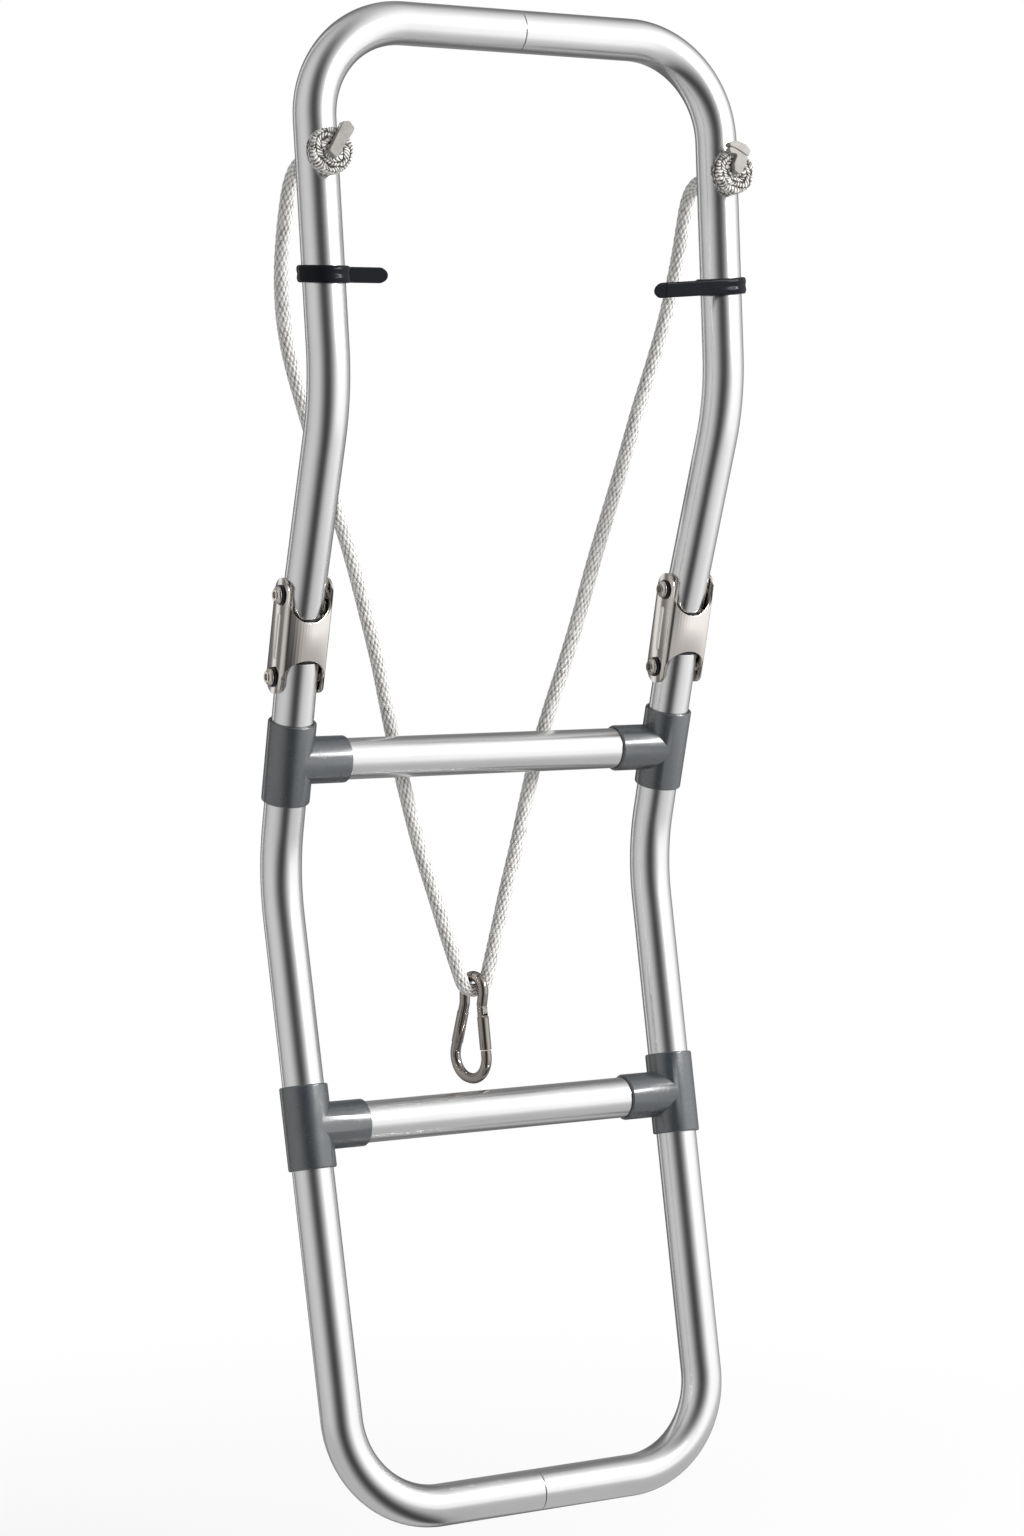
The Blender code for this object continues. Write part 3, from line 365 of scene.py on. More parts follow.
def bevelled(target, width, segments, angle, clamp=True):
    """Put a bevel modifier on the target's edges that are sharper than angle."""
    bevel = target.modifiers.new("soften", "BEVEL")
    bevel.width = width
    bevel.segments = segments
    bevel.limit_method = "ANGLE"
    bevel.angle_limit = radians(angle)
    bevel.use_clamp_overlap = clamp
    return target


def softened(target, width, segments=3, angle=40):
    """Bevel the target's sharp edges and keep its flat faces flat."""
    bevelled(target, width, segments, angle)
    target.modifiers.new("flatten", "WEIGHTED_NORMAL").keep_sharp = True
    return settle(target, None)


def cleaned(target, smooth, least=1e-5):
    """Take out the slivers that a cut left."""
    edit(target, lambda shape: bmesh.ops.remove_doubles(shape, verts=shape.verts, dist=least))
    edit(target, lambda shape: bmesh.ops.dissolve_degenerate(shape, edges=shape.edges, dist=least))
    shade(target, smooth)


def dress(piece, body, *nodes, slot=None):
    """The piece rides on the body and stands for the CAD nodes."""
    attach(piece, body)
    if nodes:
        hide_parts(*nodes)
    return piece


# Materials

class Nodes:
    """A node tree under construction."""

    def __init__(self, tree):
        self.tree = tree

    def node(self, kind, **values):
        """A new node; each value goes to the socket, or else to the setting, of that name."""
        made = self.tree.nodes.new("ShaderNode" + kind)
        for key, value in values.items():
            if key in made.inputs:
                made.inputs[key].default_value = value
            else:
                setattr(made, key, value)
        return made

    def link(self, source, target):
        self.tree.links.new(source, target)

    def calc(self, operation, a, b=None):
        made = self.node("Math", operation=operation)
        for socket, value in zip(made.inputs, (a, b)):
            if isinstance(value, (int, float)):
                socket.default_value = value
            elif value is not None:
                self.link(value, socket)
        return made.outputs[0]

    def span(self, value, low, high, to_low, to_high, **settings):
        """Map a value from one range to another."""
        ends = {"From Min": low, "From Max": high, "To Min": to_low, "To Max": to_high}
        made = self.node("MapRange", **ends, **settings)
        self.link(value, made.inputs["Value"])
        return made.outputs["Result"]


class Look(Nodes):
    """A material under construction: the nodes round its Principled shader."""

    def __init__(self, name, colour, metallic, roughness, specular=None):
        self.material = bpy.data.materials.new(name)
        self.material.use_nodes = True
        super().__init__(self.material.node_tree)
        self.shader = self.tree.nodes["Principled BSDF"]
        self.set("Base Color", (*colour, 1))
        self.set("Metallic", metallic)
        self.set("Roughness", roughness)
        if specular is not None:
            self.set("Specular IOR Level", specular)

    def set(self, socket, value):
        self.shader.inputs[socket].default_value = value

    def place(self, scale, attribute):
        """Coordinates of the surface in metres, stretched by scale."""
        source = (self.node("Attribute", attribute_name=attribute).outputs["Vector"] if attribute
                  else self.node("TexCoord").outputs["Object"])
        stretch = self.node("Mapping", Scale=scale)
        self.link(source, stretch.inputs["Vector"])
        return stretch.outputs["Vector"]

    def noise(self, scale, detail=3, rough=0.5, stretch=(1, 1, 1), attribute=None, distort=0.0):
        made = self.node("TexNoise", Scale=scale, Detail=detail, Roughness=rough,
                         Distortion=distort)
        self.link(self.place(stretch, attribute), made.inputs["Vector"])
        return made.outputs["Fac"]

    def stirred(self, value, noise_value, share):
        """value + (noise_value - 0.5) share"""
        shift = self.calc("MULTIPLY", self.calc("SUBTRACT", noise_value, 0.5), share)
        return self.calc("ADD", value, shift)

    def tint(self, value, dark, light, low=0.3, high=0.7):
        """Blend the base colour from dark to light by a value from low to high."""
        mix = self.node("Mix", data_type="RGBA")
        ends = [socket for socket in mix.inputs if socket.type == "RGBA"]
        for socket, colour in zip(ends, (dark, light)):
            socket.default_value = (*colour, 1)
        self.link(self.span(value, low, high, 0, 1), mix.inputs["Factor"])
        result = next(socket for socket in mix.outputs if socket.type == "RGBA")
        self.link(result, self.shader.inputs["Base Color"])

    def roughness(self, value, low, high, start=0.3):
        """Roughness from low to high by a value from start to 0.7."""
        self.link(self.span(value, start, 0.7, low, high), self.shader.inputs["Roughness"])

    def bump(self, height, distance, strength):
        """Bump by a height from 0 to 1 that stands for distance metres, over any earlier one."""
        made = self.node("Bump", Strength=strength, Distance=distance)
        self.link(height, made.inputs["Height"])
        normal = self.shader.inputs["Normal"]
        if normal.is_linked:
            self.link(normal.links[0].from_socket, made.inputs["Normal"])
        self.link(made.outputs["Normal"], normal)


def shade_between(colour, amount):
    """A darker and a lighter version of a colour."""
    return tuple(c * (1 - amount) for c in colour), tuple(min(1, c * (1 + amount)) for c in colour)


def satin_metal(name, colour, roughness, streak=0.05, grit=0.000004, attribute="grain"):
    """Drawn and anodised tube: fine lines along it, faint clouding and a soft grain."""
    look = Look(name, colour, 1.0, roughness)
    lines = look.noise(1, 4, 0.6, (2600, 2600, 14), attribute)
    clouds = look.noise(22, 3, 0.5, attribute=attribute)
    both = look.calc("ADD", look.calc("MULTIPLY", lines, 0.55), look.calc("MULTIPLY", clouds, 0.45))
    look.tint(both, *shade_between(colour, streak))
    look.roughness(both, roughness - 0.03, roughness + 0.04)
    look.bump(look.noise(3800, 2, 0.5, attribute=attribute), grit, 0.35)
    look.bump(lines, grit, 0.25)
    return look.material


def moulded(name, colour, roughness, clouding=0.08, grit=0.00003, ior=1.5, specular=0.5):
    """Moulded plastic: a fine eroded grain, faint flow clouds and rubbed spots."""
    look = Look(name, colour, 0.0, roughness, specular)
    look.set("IOR", ior)
    clouds = look.noise(35, 4, 0.6)
    look.tint(clouds, *shade_between(colour, clouding))
    rubbed = look.noise(90, 5, 0.7, distort=0.4)
    look.roughness(rubbed, roughness - 0.07, roughness + 0.08, 0.35)
    look.bump(look.noise(2200, 3, 0.6), grit, 0.5)
    return look.material


ALUMINIUM = satin_metal("satin_aluminium", (0.80, 0.80, 0.80), 0.23)
BARE = satin_metal("bare_aluminium", (0.70, 0.70, 0.70), 0.32)
STAINLESS = satin_metal("polished_stainless", (0.74, 0.70, 0.66), 0.13, 0.03, 0.000002, None)
# The ribs pressed in the channel: its own stainless, painted lighter as a painted highlight
BEAD_PAINTED_HIGHLIGHT = satin_metal("stainless_painted_highlight", (0.92, 0.90, 0.87), 0.16, 0.03, 0.000002, None)
FASTENER = satin_metal("bright_screw_steel", (0.66, 0.62, 0.57), 0.15, 0.05, 0.000002, None)
SOCKET = moulded("socket_shadow", (0.02, 0.019, 0.018), 0.6)
HOOK = satin_metal("dark_polished_steel", (0.36, 0.33, 0.30), 0.05, 0.04, 0.000001, None)
FITTING = moulded("grey_fitting", (0.036, 0.042, 0.048), 0.24, 0.06, 0.000008, 1.72, 1.0)
BLACK = moulded("black_plastic", (0.010, 0.011, 0.012), 0.34)
STRAP = moulded("black_strap", (0.007, 0.0078, 0.010), 0.19, 0.12, 0.00001, 1.45, 0.11)


def fibre(name, colour, shadow, dark_below, light_above, stained):
    """Braided fibre: painted shade in the grooves, fine filaments along the strands, a soft sheen.
    """
    look = Look(name, colour, 0.0, 0.62, 0.35)
    ridge = look.node("Attribute", attribute_name="ridge").outputs["Fac"]
    fuzz = look.noise(2600, 3, 0.6)
    stain = look.noise(260, 4, 0.7)
    shaded = look.stirred(look.stirred(ridge, fuzz, 0.3), stain, stained)
    # Painted shade: from the shadow colour in the grooves to the fibre's own colour on the crowns,
    # with fuzz and random stains mixed in
    look.tint(shaded, shadow, colour, dark_below, light_above)
    look.roughness(fuzz, 0.55, 0.72)
    look.set("Sheen Weight", 0.2)
    look.set("Sheen Roughness", 0.4)
    look.bump(fuzz, 0.00008, 0.6)
    return look.material


# The second colour of each is the painted shade of its grooves
ROPE = fibre("white_rope", (0.73, 0.72, 0.705), (0.12, 0.108, 0.095), 0.24, 0.82, 1.0)
PACKED = fibre("packed_braid", (0.76, 0.745, 0.725), (0.045, 0.039, 0.033), 0.44, 1.06, 2.0)


def sealed_end():
    """The melted and dipped rope end: smooth, greyish and slightly waxy."""
    look = Look("sealed_rope_end", (0.26, 0.249, 0.234), 0.0, 0.24, 0.2)
    clouds = look.noise(160, 4, 0.6, distort=0.5)
    look.tint(clouds, (0.22, 0.21, 0.197), (0.29, 0.278, 0.262))
    look.roughness(clouds, 0.18, 0.30)
    look.bump(look.noise(900, 3, 0.6), 0.00005, 0.5)
    return look.material


SEALED = sealed_end()


# Rails and rungs

def rope_frame(side):
    """Frame on the rail axis where the rope goes through, local Z to the back."""
    return leg_frame(side, TOP, UPPER_TILT, ROPE_DROP) @ BACK


def build_rails():
    for side, name in SIDES.items():
        upper_end = UPPER_PIVOT + OVERRUN * going_down(UPPER_MID_TILT)
        lower_end = LOWER_PIVOT - OVERRUN * going_down(LOWER_MID_TILT)
        first, last = (Vector((side * SEAM, *middle.yz)) for middle in (TOP, BOTTOM))
        corners = {"upper": [first, *(on_side(side, p) for p in (TOP, UPPER_BEND, upper_end))],
                   "lower": [*(on_side(side, p) for p in (lower_end, LOWER_BEND, BOTTOM)), last]}
        radii = {"upper": (CORNER, UPPER_BEND_RADIUS), "lower": (LOWER_BEND_RADIUS, CORNER)}
        for level in LEVELS:
            path = spaced(fillet_path(corners[level], radii[level]), 0.02)
            rail = pipe(f"{level}_tube_{name}", path, TUBE, WALL, ALUMINIUM)
            if level == "upper":
                shaped(rail, drum("hole", 0.005, 0.002, 0.0175, rope_frame(side), ALUMINIUM, 48))
            dress(rail, f"{level}_frame", f"{level}_rail_{name}", slot="aluminium_tube")


def build_plugs():
    """The black plugs in the tube ends inside the hinges."""
    face, flange = -OVERRUN - GAP, 0.0015
    profile = rounded(column(TUBE, face - flange, face), [0.0003, 0.0004])
    for side in SIDES:
        for level, outwards in (("upper", going_down(UPPER_MID_TILT)),
                                ("lower", -going_down(LOWER_MID_TILT))):
            name, place = f"{level}_{SIDES[side]}", on_side(side, PIVOTS[level])
            spot = frame_at(place, on_side(side, PIVOTS[level] - outwards) - place)
            plug = lathe(f"plug_{name}", profile, spot, BLACK)
            dress(plug, f"{level}_frame", f"end_plug_{name}", slot="black_plastic")


def tee_frame(level, side):
    """Frame on the rail's axis where the rung meets it."""
    return leg_frame(side, *RUNGS[level])


TEE_WALL = 0.0017
TEE_HALF = 0.025
TEE_REACH = 0.036
TEE_OUTER = TUBE + GAP + TEE_WALL
TEE_ROUND = 0.0011
RUNG_SETBACK = 0.015


def build_rungs():
    for level in LEVELS:
        centre = tee_frame(level, 1).translation
        half = centre.x - RUNG_SETBACK
        points = [Vector((x, *centre.yz)) for x in (-half, -half / 2, 0, half / 2, half)]
        made = pipe(f"rung_tube_{level}", points, TUBE, WALL, ALUMINIUM)
        dress(made, "lower_frame", f"rung_{level}", slot="aluminium_tube")


def tee_fitting(level, side):
    """A sleeve on the rail and a branch for the rung, with rounded rims."""
    name = f"{level}_{SIDES[side]}"
    spot = tee_frame(level, side)
    inwards = across(spot.translation, -side)
    sleeve = rounded(column(TEE_OUTER, -TEE_HALF, TEE_HALF), [TEE_ROUND, TEE_ROUND])
    branch = rounded(column(TEE_OUTER - 0.0003, 0.001, TEE_REACH), [TEE_ROUND, 0])
    body = lathe(f"tee_fitting_{name}", sleeve, spot, FITTING, 96)
    shaped(body, lathe("branch", branch, inwards, FITTING, 96), "UNION", 28)
    shaped(body, drum("bore", TUBE + GAP, -0.04, 0.04, spot, FITTING), smooth=28)
    shaped(body, drum("socket", TUBE + GAP, 0.0144, 0.047, inwards, FITTING), smooth=28)
    cleaned(body, 28)
    dress(body, "lower_frame", f"tee_{name}", slot="grey_fitting")


def build_rivets():
    """Blind rivets behind the fittings: a domed flange with the broken stem in its middle."""
    under = TEE_OUTER + GAP
    profile = rounded([(0, under + 0.0007), (0.0012, under + 0.0007), (0.0014, under + 0.0012),
                       (0.0027, under + 0.0011), (0.0040, under + 0.0004), (0.0040, under),
                       (0.0020, under), (0.0020, 0.0090), (0, 0.0090)],
                      [0.0001, 0.0002, 0.0006, 0.0002, 0.0001, 0, 0])
    for level in LEVELS:
        for side in SIDES:
            spot = tee_frame(level, side)
            centre = spot.translation + Vector((-side * 0.0275, 0, 0))
            for kind, place in (("rail", spot @ Matrix.Translation((0, 0, 0.016)) @ BACK),
                                ("rung", Matrix.Translation(centre) @ BACK)):
                name = f"{kind}_{level}_{SIDES[side]}"
                made = lathe(f"rivet_{name}", profile, place, FASTENER, 40)
                dress(made, "lower_frame", f"tee_rivet_{name}", slot="screw_steel")


# Hinges

EAR = 0.010
WEB_DEPTH, CROWN_DEPTH = 0.0104, 0.0169
NOTCH, NOTCH_START = TUBE + 0.0011, 0.0074


def channel_midline():
    """Middle of the bent sheet in section: two ears and a bowed web, as dense points."""
    wide, deep, crown = (x - SHEET / 2 for x in (OUTSIDE, WEB_DEPTH, CROWN_DEPTH))
    corners = [(-wide, EAR), (-wide, -deep), (0, -crown), (wide, -deep), (wide, EAR)]
    return spaced(lifted(rounded(corners, [0.0038, 0.026, 0.0038], radians(4))), 0.00025)


def sheet_reach(x, y):
    """Half the channel's length at one place of its section."""
    half = LINK / 2
    if y < -NOTCH_START and abs(x) < NOTCH:
        return half - sqrt(NOTCH ** 2 - x ** 2)
    return half + sqrt(max(0.0, EAR ** 2 - y ** 2))


def bent_sheet(name, spot):
    """The channel as one folded sheet with softened edges."""
    middle = channel_midline()
    verts, faces = [], []
    for i, point in enumerate(middle):
        along = (middle[min(i + 1, len(middle) - 1)] - middle[max(i - 1, 0)]).normalized()
        out = Vector((-along.y, along.x, 0)) * (-SHEET / 2)
        reach = max(sheet_reach(point.x, point.y), 0.0001)
        for skin in (point + out, point - out):
            verts += [spot @ (skin + Vector((0, 0, z))) for z in (reach, -reach)]
        if i:
            a, b = 4 * (i - 1), 4 * i
            faces += [(a, b, b + 1, a + 1), (a + 2, a + 3, b + 3, b + 2), (a, a + 2, b + 2, b),
                      (a + 1, b + 1, b + 3, a + 3)]
    last = 4 * (len(middle) - 1)
    faces += [(0, 1, 3, 2), (last, last + 2, last + 3, last + 1)]
    sheet = make(name, verts, faces, STAINLESS)
    return settle(bevelled(sheet, 0.00016, 2, 50, False))


def bead(matrix, length, width, height, steps=20, rows=7):
    """A pressed rib: a long dome on a slot-shaped foot, closed underneath, in the lighter stainless
    of a painted highlight.
    """
    verts, half = [], (length - width) / 2
    for row in range(rows + 1):
        angle = row / rows * pi / 2
        radius = width / 2 * max(cos(angle), 0.02)
        outline = circle(radius, steps, 0, pi, (0, half))
        outline += circle(radius, steps, pi, 2 * pi, (0, -half))
        verts += [matrix @ Vector((x, y, height * sin(angle))) for x, y in outline]
    return make("bead", verts, bridge(rows + 1, 2 * (steps + 1)), BEAD_PAINTED_HIGHLIGHT)


def hinge_plate(side):
    name = SIDES[side]
    spot = frame_at(on_side(side, HINGE_MIDDLE), UPPER_PIVOT - LOWER_PIVOT)
    pieces = [bent_sheet(f"hinge_plate_{name}", spot)]
    for edge in SIDES:
        foot = across((edge * (OUTSIDE - 0.0001), 0, 0), edge) @ turned(90, "Z")
        pieces.append(bead(spot @ foot, 0.028, 0.0042, 0.0009))
    with bpy.context.temp_override(active_object=pieces[0], selected_editable_objects=pieces):
        bpy.ops.object.join()
    dress(pieces[0], "hinge_links", f"hinge_channel_{name}", slot="stainless_channel")


def button_screw(name, centre):
    """Button head with a hexagon socket, seen from the -X side."""
    under = -(OUTSIDE + 0.001 + 2 * GAP)
    radius, height = 0.00525, 0.003
    face = under - height
    outline = [(0, face), (0.0034, face)]
    outline += [(radius * sin(a), face + height * 0.78 * (1 - cos(a)))
                for a in map(radians, (44, 52, 60, 68, 76, 84))]
    outline += [(radius, under - 0.0005), (0.0051, under), (0.003, under), (0.003, under + 0.016),
                (0, under + 0.016)]
    body = lathe(name, [(r, -h) for r, h in outline], across(centre, -1), FASTENER, 64)
    bottom = across(centre, -1) @ Matrix.Translation((0, 0, -face - 0.0019))
    return shaped(body, drum("hexagon", 0.0023, 0.0, 0.03, bottom, SOCKET, 6), smooth=30)


def build_hinges():
    near = OUTSIDE + GAP
    ring = rounded([(0.0034, near), (0.0033, near), (0.0033, near + 0.001), (0.006, near + 0.001),
                    (0.006, near), (0.0034, near)], [0, 0.0001, 0.0003, 0.0002])[-2::-1]
    head = rounded([(0, near + 0.002), (0.0030, near + 0.0019), (0.0050, near + 0.0010),
                    (0.0055, near), (0.004, near), (0.004, -INSIDE + GAP), (0, -INSIDE + GAP)],
                   [0.004, 0.0025, 0.0003, 0.0001, 0])
    for side in SIDES:
        hinge_plate(side)
        for level in LEVELS:
            name = f"{level}_{SIDES[side]}"
            centre = Vector((on_side(side, HINGE_MIDDLE).x, *PIVOTS[level].yz))
            dress(button_screw(f"screw_{name}", centre), "hinge_links", f"pivot_screw_{name}",
                  slot="screw_steel")
            washer = lathe(f"washer_{name}", ring, across(centre, -1), BLACK, 64, True)
            dress(washer, "hinge_links", f"pivot_washer_{name}", slot="black_plastic")
            nut = lathe(f"sleeve_nut_{name}", head, across(centre), FASTENER, 64)
            dress(nut, "hinge_links", f"pivot_nut_{name}", slot="screw_steel")


# Straps

BAND_THICK, BAND_WIDTH, TAIL_WIDTH, GROOVE = 0.0026, 0.010, 0.0092, 0.0003
ROLL = radians(12)
# Each band's reach and how it lies on its rail: raised, rising to the back and to the right
LIE = {-1: (0.0472, 0.0015, 0.15, 0.0), 1: (0.0548, 0.0022, 0.14, 0.094)}


def strap_section(groove, thin=1.0, wide=1.0):
    """Section of the band: thickness along x, width along y, two lobes with a groove between."""
    face, half, quarter, rim = BAND_THICK / 2, BAND_WIDTH / 2, BAND_WIDTH / 4, 0.0011
    start = [(face - rim * (1 - sin(a)) - groove, -half + rim * (1 - cos(a)))
             for a in (0.0, 0.35, 0.75, 1.15)]
    outer = []
    for step in range(25):
        y = -half + 0.0012 + (BAND_WIDTH - 0.0024) * step / 24
        share = cos(pi * abs(abs(y) - quarter) / quarter) * 0.5 + 0.5
        outer.append((face - groove * (1 - share), y))
    section = start + outer + [(x, -y) for x, y in reversed(start)]
    section += [(-face, half - 0.0006), (-face, 0.0006 - half)]
    return [(x * thin, y * wide) for x, y in section]


def storage_strap(side):
    """A rubber band round the rail, with a flat tail that ends in a rounded tip."""
    name = SIDES[side]
    spot = leg_frame(side, TOP, UPPER_TILT, STRAP_DROP)
    turn = spot.to_3x3()
    reach, lift, back_rise, side_rise = LIE[side]

    def mark(x, y, out, along):
        """The band's middle line at (x, y), slightly askew on its rail, and its directions."""
        place = Vector((x, y, lift + back_rise * y + side_rise * x))
        return spot @ place, turn @ Vector(out), turn @ Vector(along), None

    middle = TUBE + GAP + BAND_THICK / 2
    face, tip = -side, TAIL_WIDTH / 2
    ridge = reach - 0.0075
    stops = [reach - tip * (1 - sin(radians(a))) for a in (86, 80, 72, 64, 55, 45, 35, 25, 12, 0)]
    stops += [ridge + 0.0008, ridge + 0.0003, ridge, ridge - 0.0003]
    stops += [(ridge - 0.0003) * (1 - k / 24) for k in range(1, 25)]
    marks, sections = [], []
    for x in stops:
        near = min(1.0, x / 0.009)
        past = max(0.0, x - (reach - tip)) / tip
        rim = max(0.07, sqrt(max(0.0, 1 - past * past)))
        thin = 1.25 if side > 0 and x == ridge else 1.0
        if x > ridge and side > 0:
            thin = max(0.7, 1 - 60 * (x - ridge))
        wide = (BAND_WIDTH + (TAIL_WIDTH - BAND_WIDTH) * near) * rim
        sections.append(strap_section(GROOVE * (1 - near), thin, wide / BAND_WIDTH))
        roll = ROLL * min(1.0, x / 0.016)
        marks.append(mark(-side * x, face * middle, (0, face * cos(roll), face * sin(roll)),
                          (0, -sin(roll), cos(roll))))
    for k in range(1, 118):
        a = radians(3 * k) + face * pi / 2
        sections.append(strap_section(GROOVE))
        marks.append(mark(middle * cos(a), middle * sin(a), (cos(a), sin(a), 0), (0, 0, 1)))
    band = sweep(f"strap_band_{name}", marks, sections, STRAP)
    dress(band, f"strap_{name}", f"storage_strap_{name}", slot="strap_rubber")


# Rope and knots

ROPE_RADIUS = 0.0045
BIGHT_CENTRE = Vector((0, 0.0563, -0.5676))
BIGHT_RADIUS = 0.009
APEX = BIGHT_CENTRE - Vector((0, 0, BIGHT_RADIUS))
ROUTE = [
    (-0.1338, 0.0232, -0.0862), (-0.1341, 0.0290, -0.0941), (-0.1343, 0.0332, -0.1052),
    (-0.1342, 0.0380, -0.1215), (-0.1330, 0.0437, -0.1420), (-0.1298, 0.0490, -0.1660),
    (-0.1240, 0.0526, -0.1900), (-0.1150, 0.0544, -0.2180), (-0.1045, 0.0542, -0.2500),
    (-0.0935, 0.0534, -0.2810), (-0.0830, 0.0536, -0.3120), (-0.0735, 0.0546, -0.3440),
    (-0.0646, 0.0568, -0.3740), (-0.0560, 0.0612, -0.4040), (-0.0488, 0.0640, -0.4300),
    (-0.0415, 0.0642, -0.4580), (-0.0336, 0.0630, -0.4880), (-0.0252, 0.0612, -0.5155),
    (-0.0178, 0.0590, -0.5405), (-0.0126, 0.0574, -0.5575),
]


def rope_route():
    """The route points that the CAD source has, from the left exit to the right exit."""
    spot = rope_frame(-1)
    direction = spot.to_3x3() @ Vector((0, 0, 1))
    first = spot.translation + (TUBE + 0.0015 + GAP) * direction
    left = [first + share * 2 * ROPE_RADIUS * direction for share in (0, 0.5, 1)]
    left += [Vector(point) for point in ROUTE]
    bight = []
    for step in range(9):
        angle = radians(71.4) * (2 * step / 8 - 1)
        bight.append(BIGHT_CENTRE + BIGHT_RADIUS * Vector((sin(angle), 0, -cos(angle))))
    return left + bight + [Vector((-p.x, p.y, p.z)) for p in reversed(left)]


def smooth_curve(route, pieces=12):
    """Many points on a smooth curve through the route's points."""
    ends = [2 * route[0] - route[1], *route, 2 * route[-1] - route[-2]]
    points = []
    for index in range(1, len(ends) - 2):
        before, start, end, after = ends[index - 1:index + 3]
        span = (end - start).length
        leave = span * (end - before) / (span + (start - before).length)
        arrive = span * (after - start) / ((after - end).length + span)
        for piece in range(pieces):
            t = piece / pieces
            points.append((2 * t**3 - 3 * t**2 + 1) * start + (t**3 - 2 * t**2 + t) * leave
                          + (3 * t**2 - 2 * t**3) * end + (t**3 - t**2) * arrive)
    points.append(route[-1])
    return points


def even(points, step):
    """The path cut into equal steps, and its length."""
    lengths = lengths_along(points)
    count = round(lengths[-1] / step)
    out, k = [], 0
    for i in range(count + 1):
        s = lengths[-1] * i / count
        while k < len(points) - 2 and lengths[k + 1] < s:
            k += 1
        share = (s - lengths[k]) / (lengths[k + 1] - lengths[k])
        out.append(points[k].lerp(points[k + 1], share))
    return out, lengths[-1]


BRAID_CARRIERS = 10
BRAID_PITCH = 0.0030
BRAID_DEPTH = 0.0008
# The rope is thinner by this share where the hook hangs, over about this length
PINCH, PINCH_LENGTH = 0.10, 0.011


def braid(s, turn):
    """Height of a braided sheath, 0 in its grooves and 1 on its crowns, at s metres."""
    u = turn / (2 * pi) * BRAID_CARRIERS
    v = s / BRAID_PITCH
    a, b = u + v / 2, u - v / 2
    fa, fb = a - floor(a) - 0.5, b - floor(b) - 0.5
    over = (floor(a) + floor(b)) % 2 == 0
    wide, long = (fa, fb) if over else (fb, fa)
    crown = sqrt(max(0.0, 1 - (wide / 0.52) ** 2))
    return crown * (1 - 0.55 * (abs(long) / 0.5) ** 2.2)


def build_rope():
    """A tube whose skin rises and falls with the braid, pinched where the hook hangs."""
    points, length = even(smooth_curve(rope_route()), 0.0007)
    steps = 44
    verts, ridges = [], []
    for s, (point, normal, binormal, _) in zip(lengths_along(points), frames_along(points)):
        pinch = 1 - PINCH * exp(-((point - APEX).length / PINCH_LENGTH) ** 2)
        for k in range(steps):
            turn = 2 * pi * k / steps
            height = braid(s, turn)
            r = pinch * (ROPE_RADIUS + 0.0001 - BRAID_DEPTH * (1 - height))
            verts.append(point + r * (cos(turn) * normal + sin(turn) * binormal))
            ridges.append(height)
    made = make("rope_braid", verts, bridge(len(points), steps), ROPE, 75)
    keep_ridges(made, ridges)
    dress(made, "upper_frame", "rope", slot="rope_fibre")
    return made, points, length


# The knot's rows of strands: how wide a row and a strand are, and how far they slant
ROW, STRAND, SLANT = 0.0034, 0.0019, 1.15


def packed_braid(radius, angle, depth, seed):
    """Height of the knot's strands: slanting rows that meet in a herringbone."""
    wobble = noise.noise(Vector((radius * 260, angle * 1.7 + seed, depth * 260)))
    row_place = (radius - depth) / ROW + 0.55 * wobble + 0.25 * sin(2 * angle + seed)
    row = floor(row_place)
    across_row = row_place - row - 0.5
    count = max(9, round(2 * pi * (row + 0.6) * ROW / STRAND))
    slant = SLANT if row % 2 else -SLANT
    place = angle / (2 * pi) * count + slant * across_row + 0.35 * wobble + 0.37 * row
    across_strand = place - floor(place) - 0.5
    crown = sqrt(max(0.0, 1 - (across_strand / 0.5) ** 2))
    return crown * (1 - 0.8 * (abs(across_row) / 0.5) ** 3)


# The sealed ends, as (x, up) in millimetres on the knot's face: face, foot and rise of each
ENDS = {
    -1: [([(-4.2, -1.4), (0.2, -5.6), (12.3, 11.6), (9.6, 15.8), (5.6, 15.4)],
          [(-4.2, -1.4), (1.0, -5.9), (13.9, 10.8), (10.2, 16.1), (5.4, 15.6)], 0.0040)],
    1: [([(-8.3, 15.0), (-4.9, 16.8), (-0.7, 17.3), (5.0, 15.4), (8.2, 12.0), (6.6, 8.5),
          (-1.2, 12.6)],
         [(-8.3, 14.7), (-4.9, 17.0), (-0.7, 17.5), (5.3, 15.6), (8.8, 11.6), (7.6, 8.0),
          (-1.2, 12.0)], 0.0040),
        ([(-0.6, 9.6), (-3.4, 3.4), (-3.0, -0.5), (-0.7, -2.3), (1.9, -1.7), (5.0, 4.2),
          (6.6, 8.4), (-1.2, 12.4), (-7.0, 14.6), (-5.6, 10.0)],
         [(-0.6, 9.3), (-3.4, 3.2), (-3.0, -0.7), (-0.7, -2.6), (2.4, -2.0), (6.0, 3.8),
          (7.6, 8.0), (-1.2, 12.2), (-7.0, 14.4), (-5.6, 9.7)], 0.0034)],
}


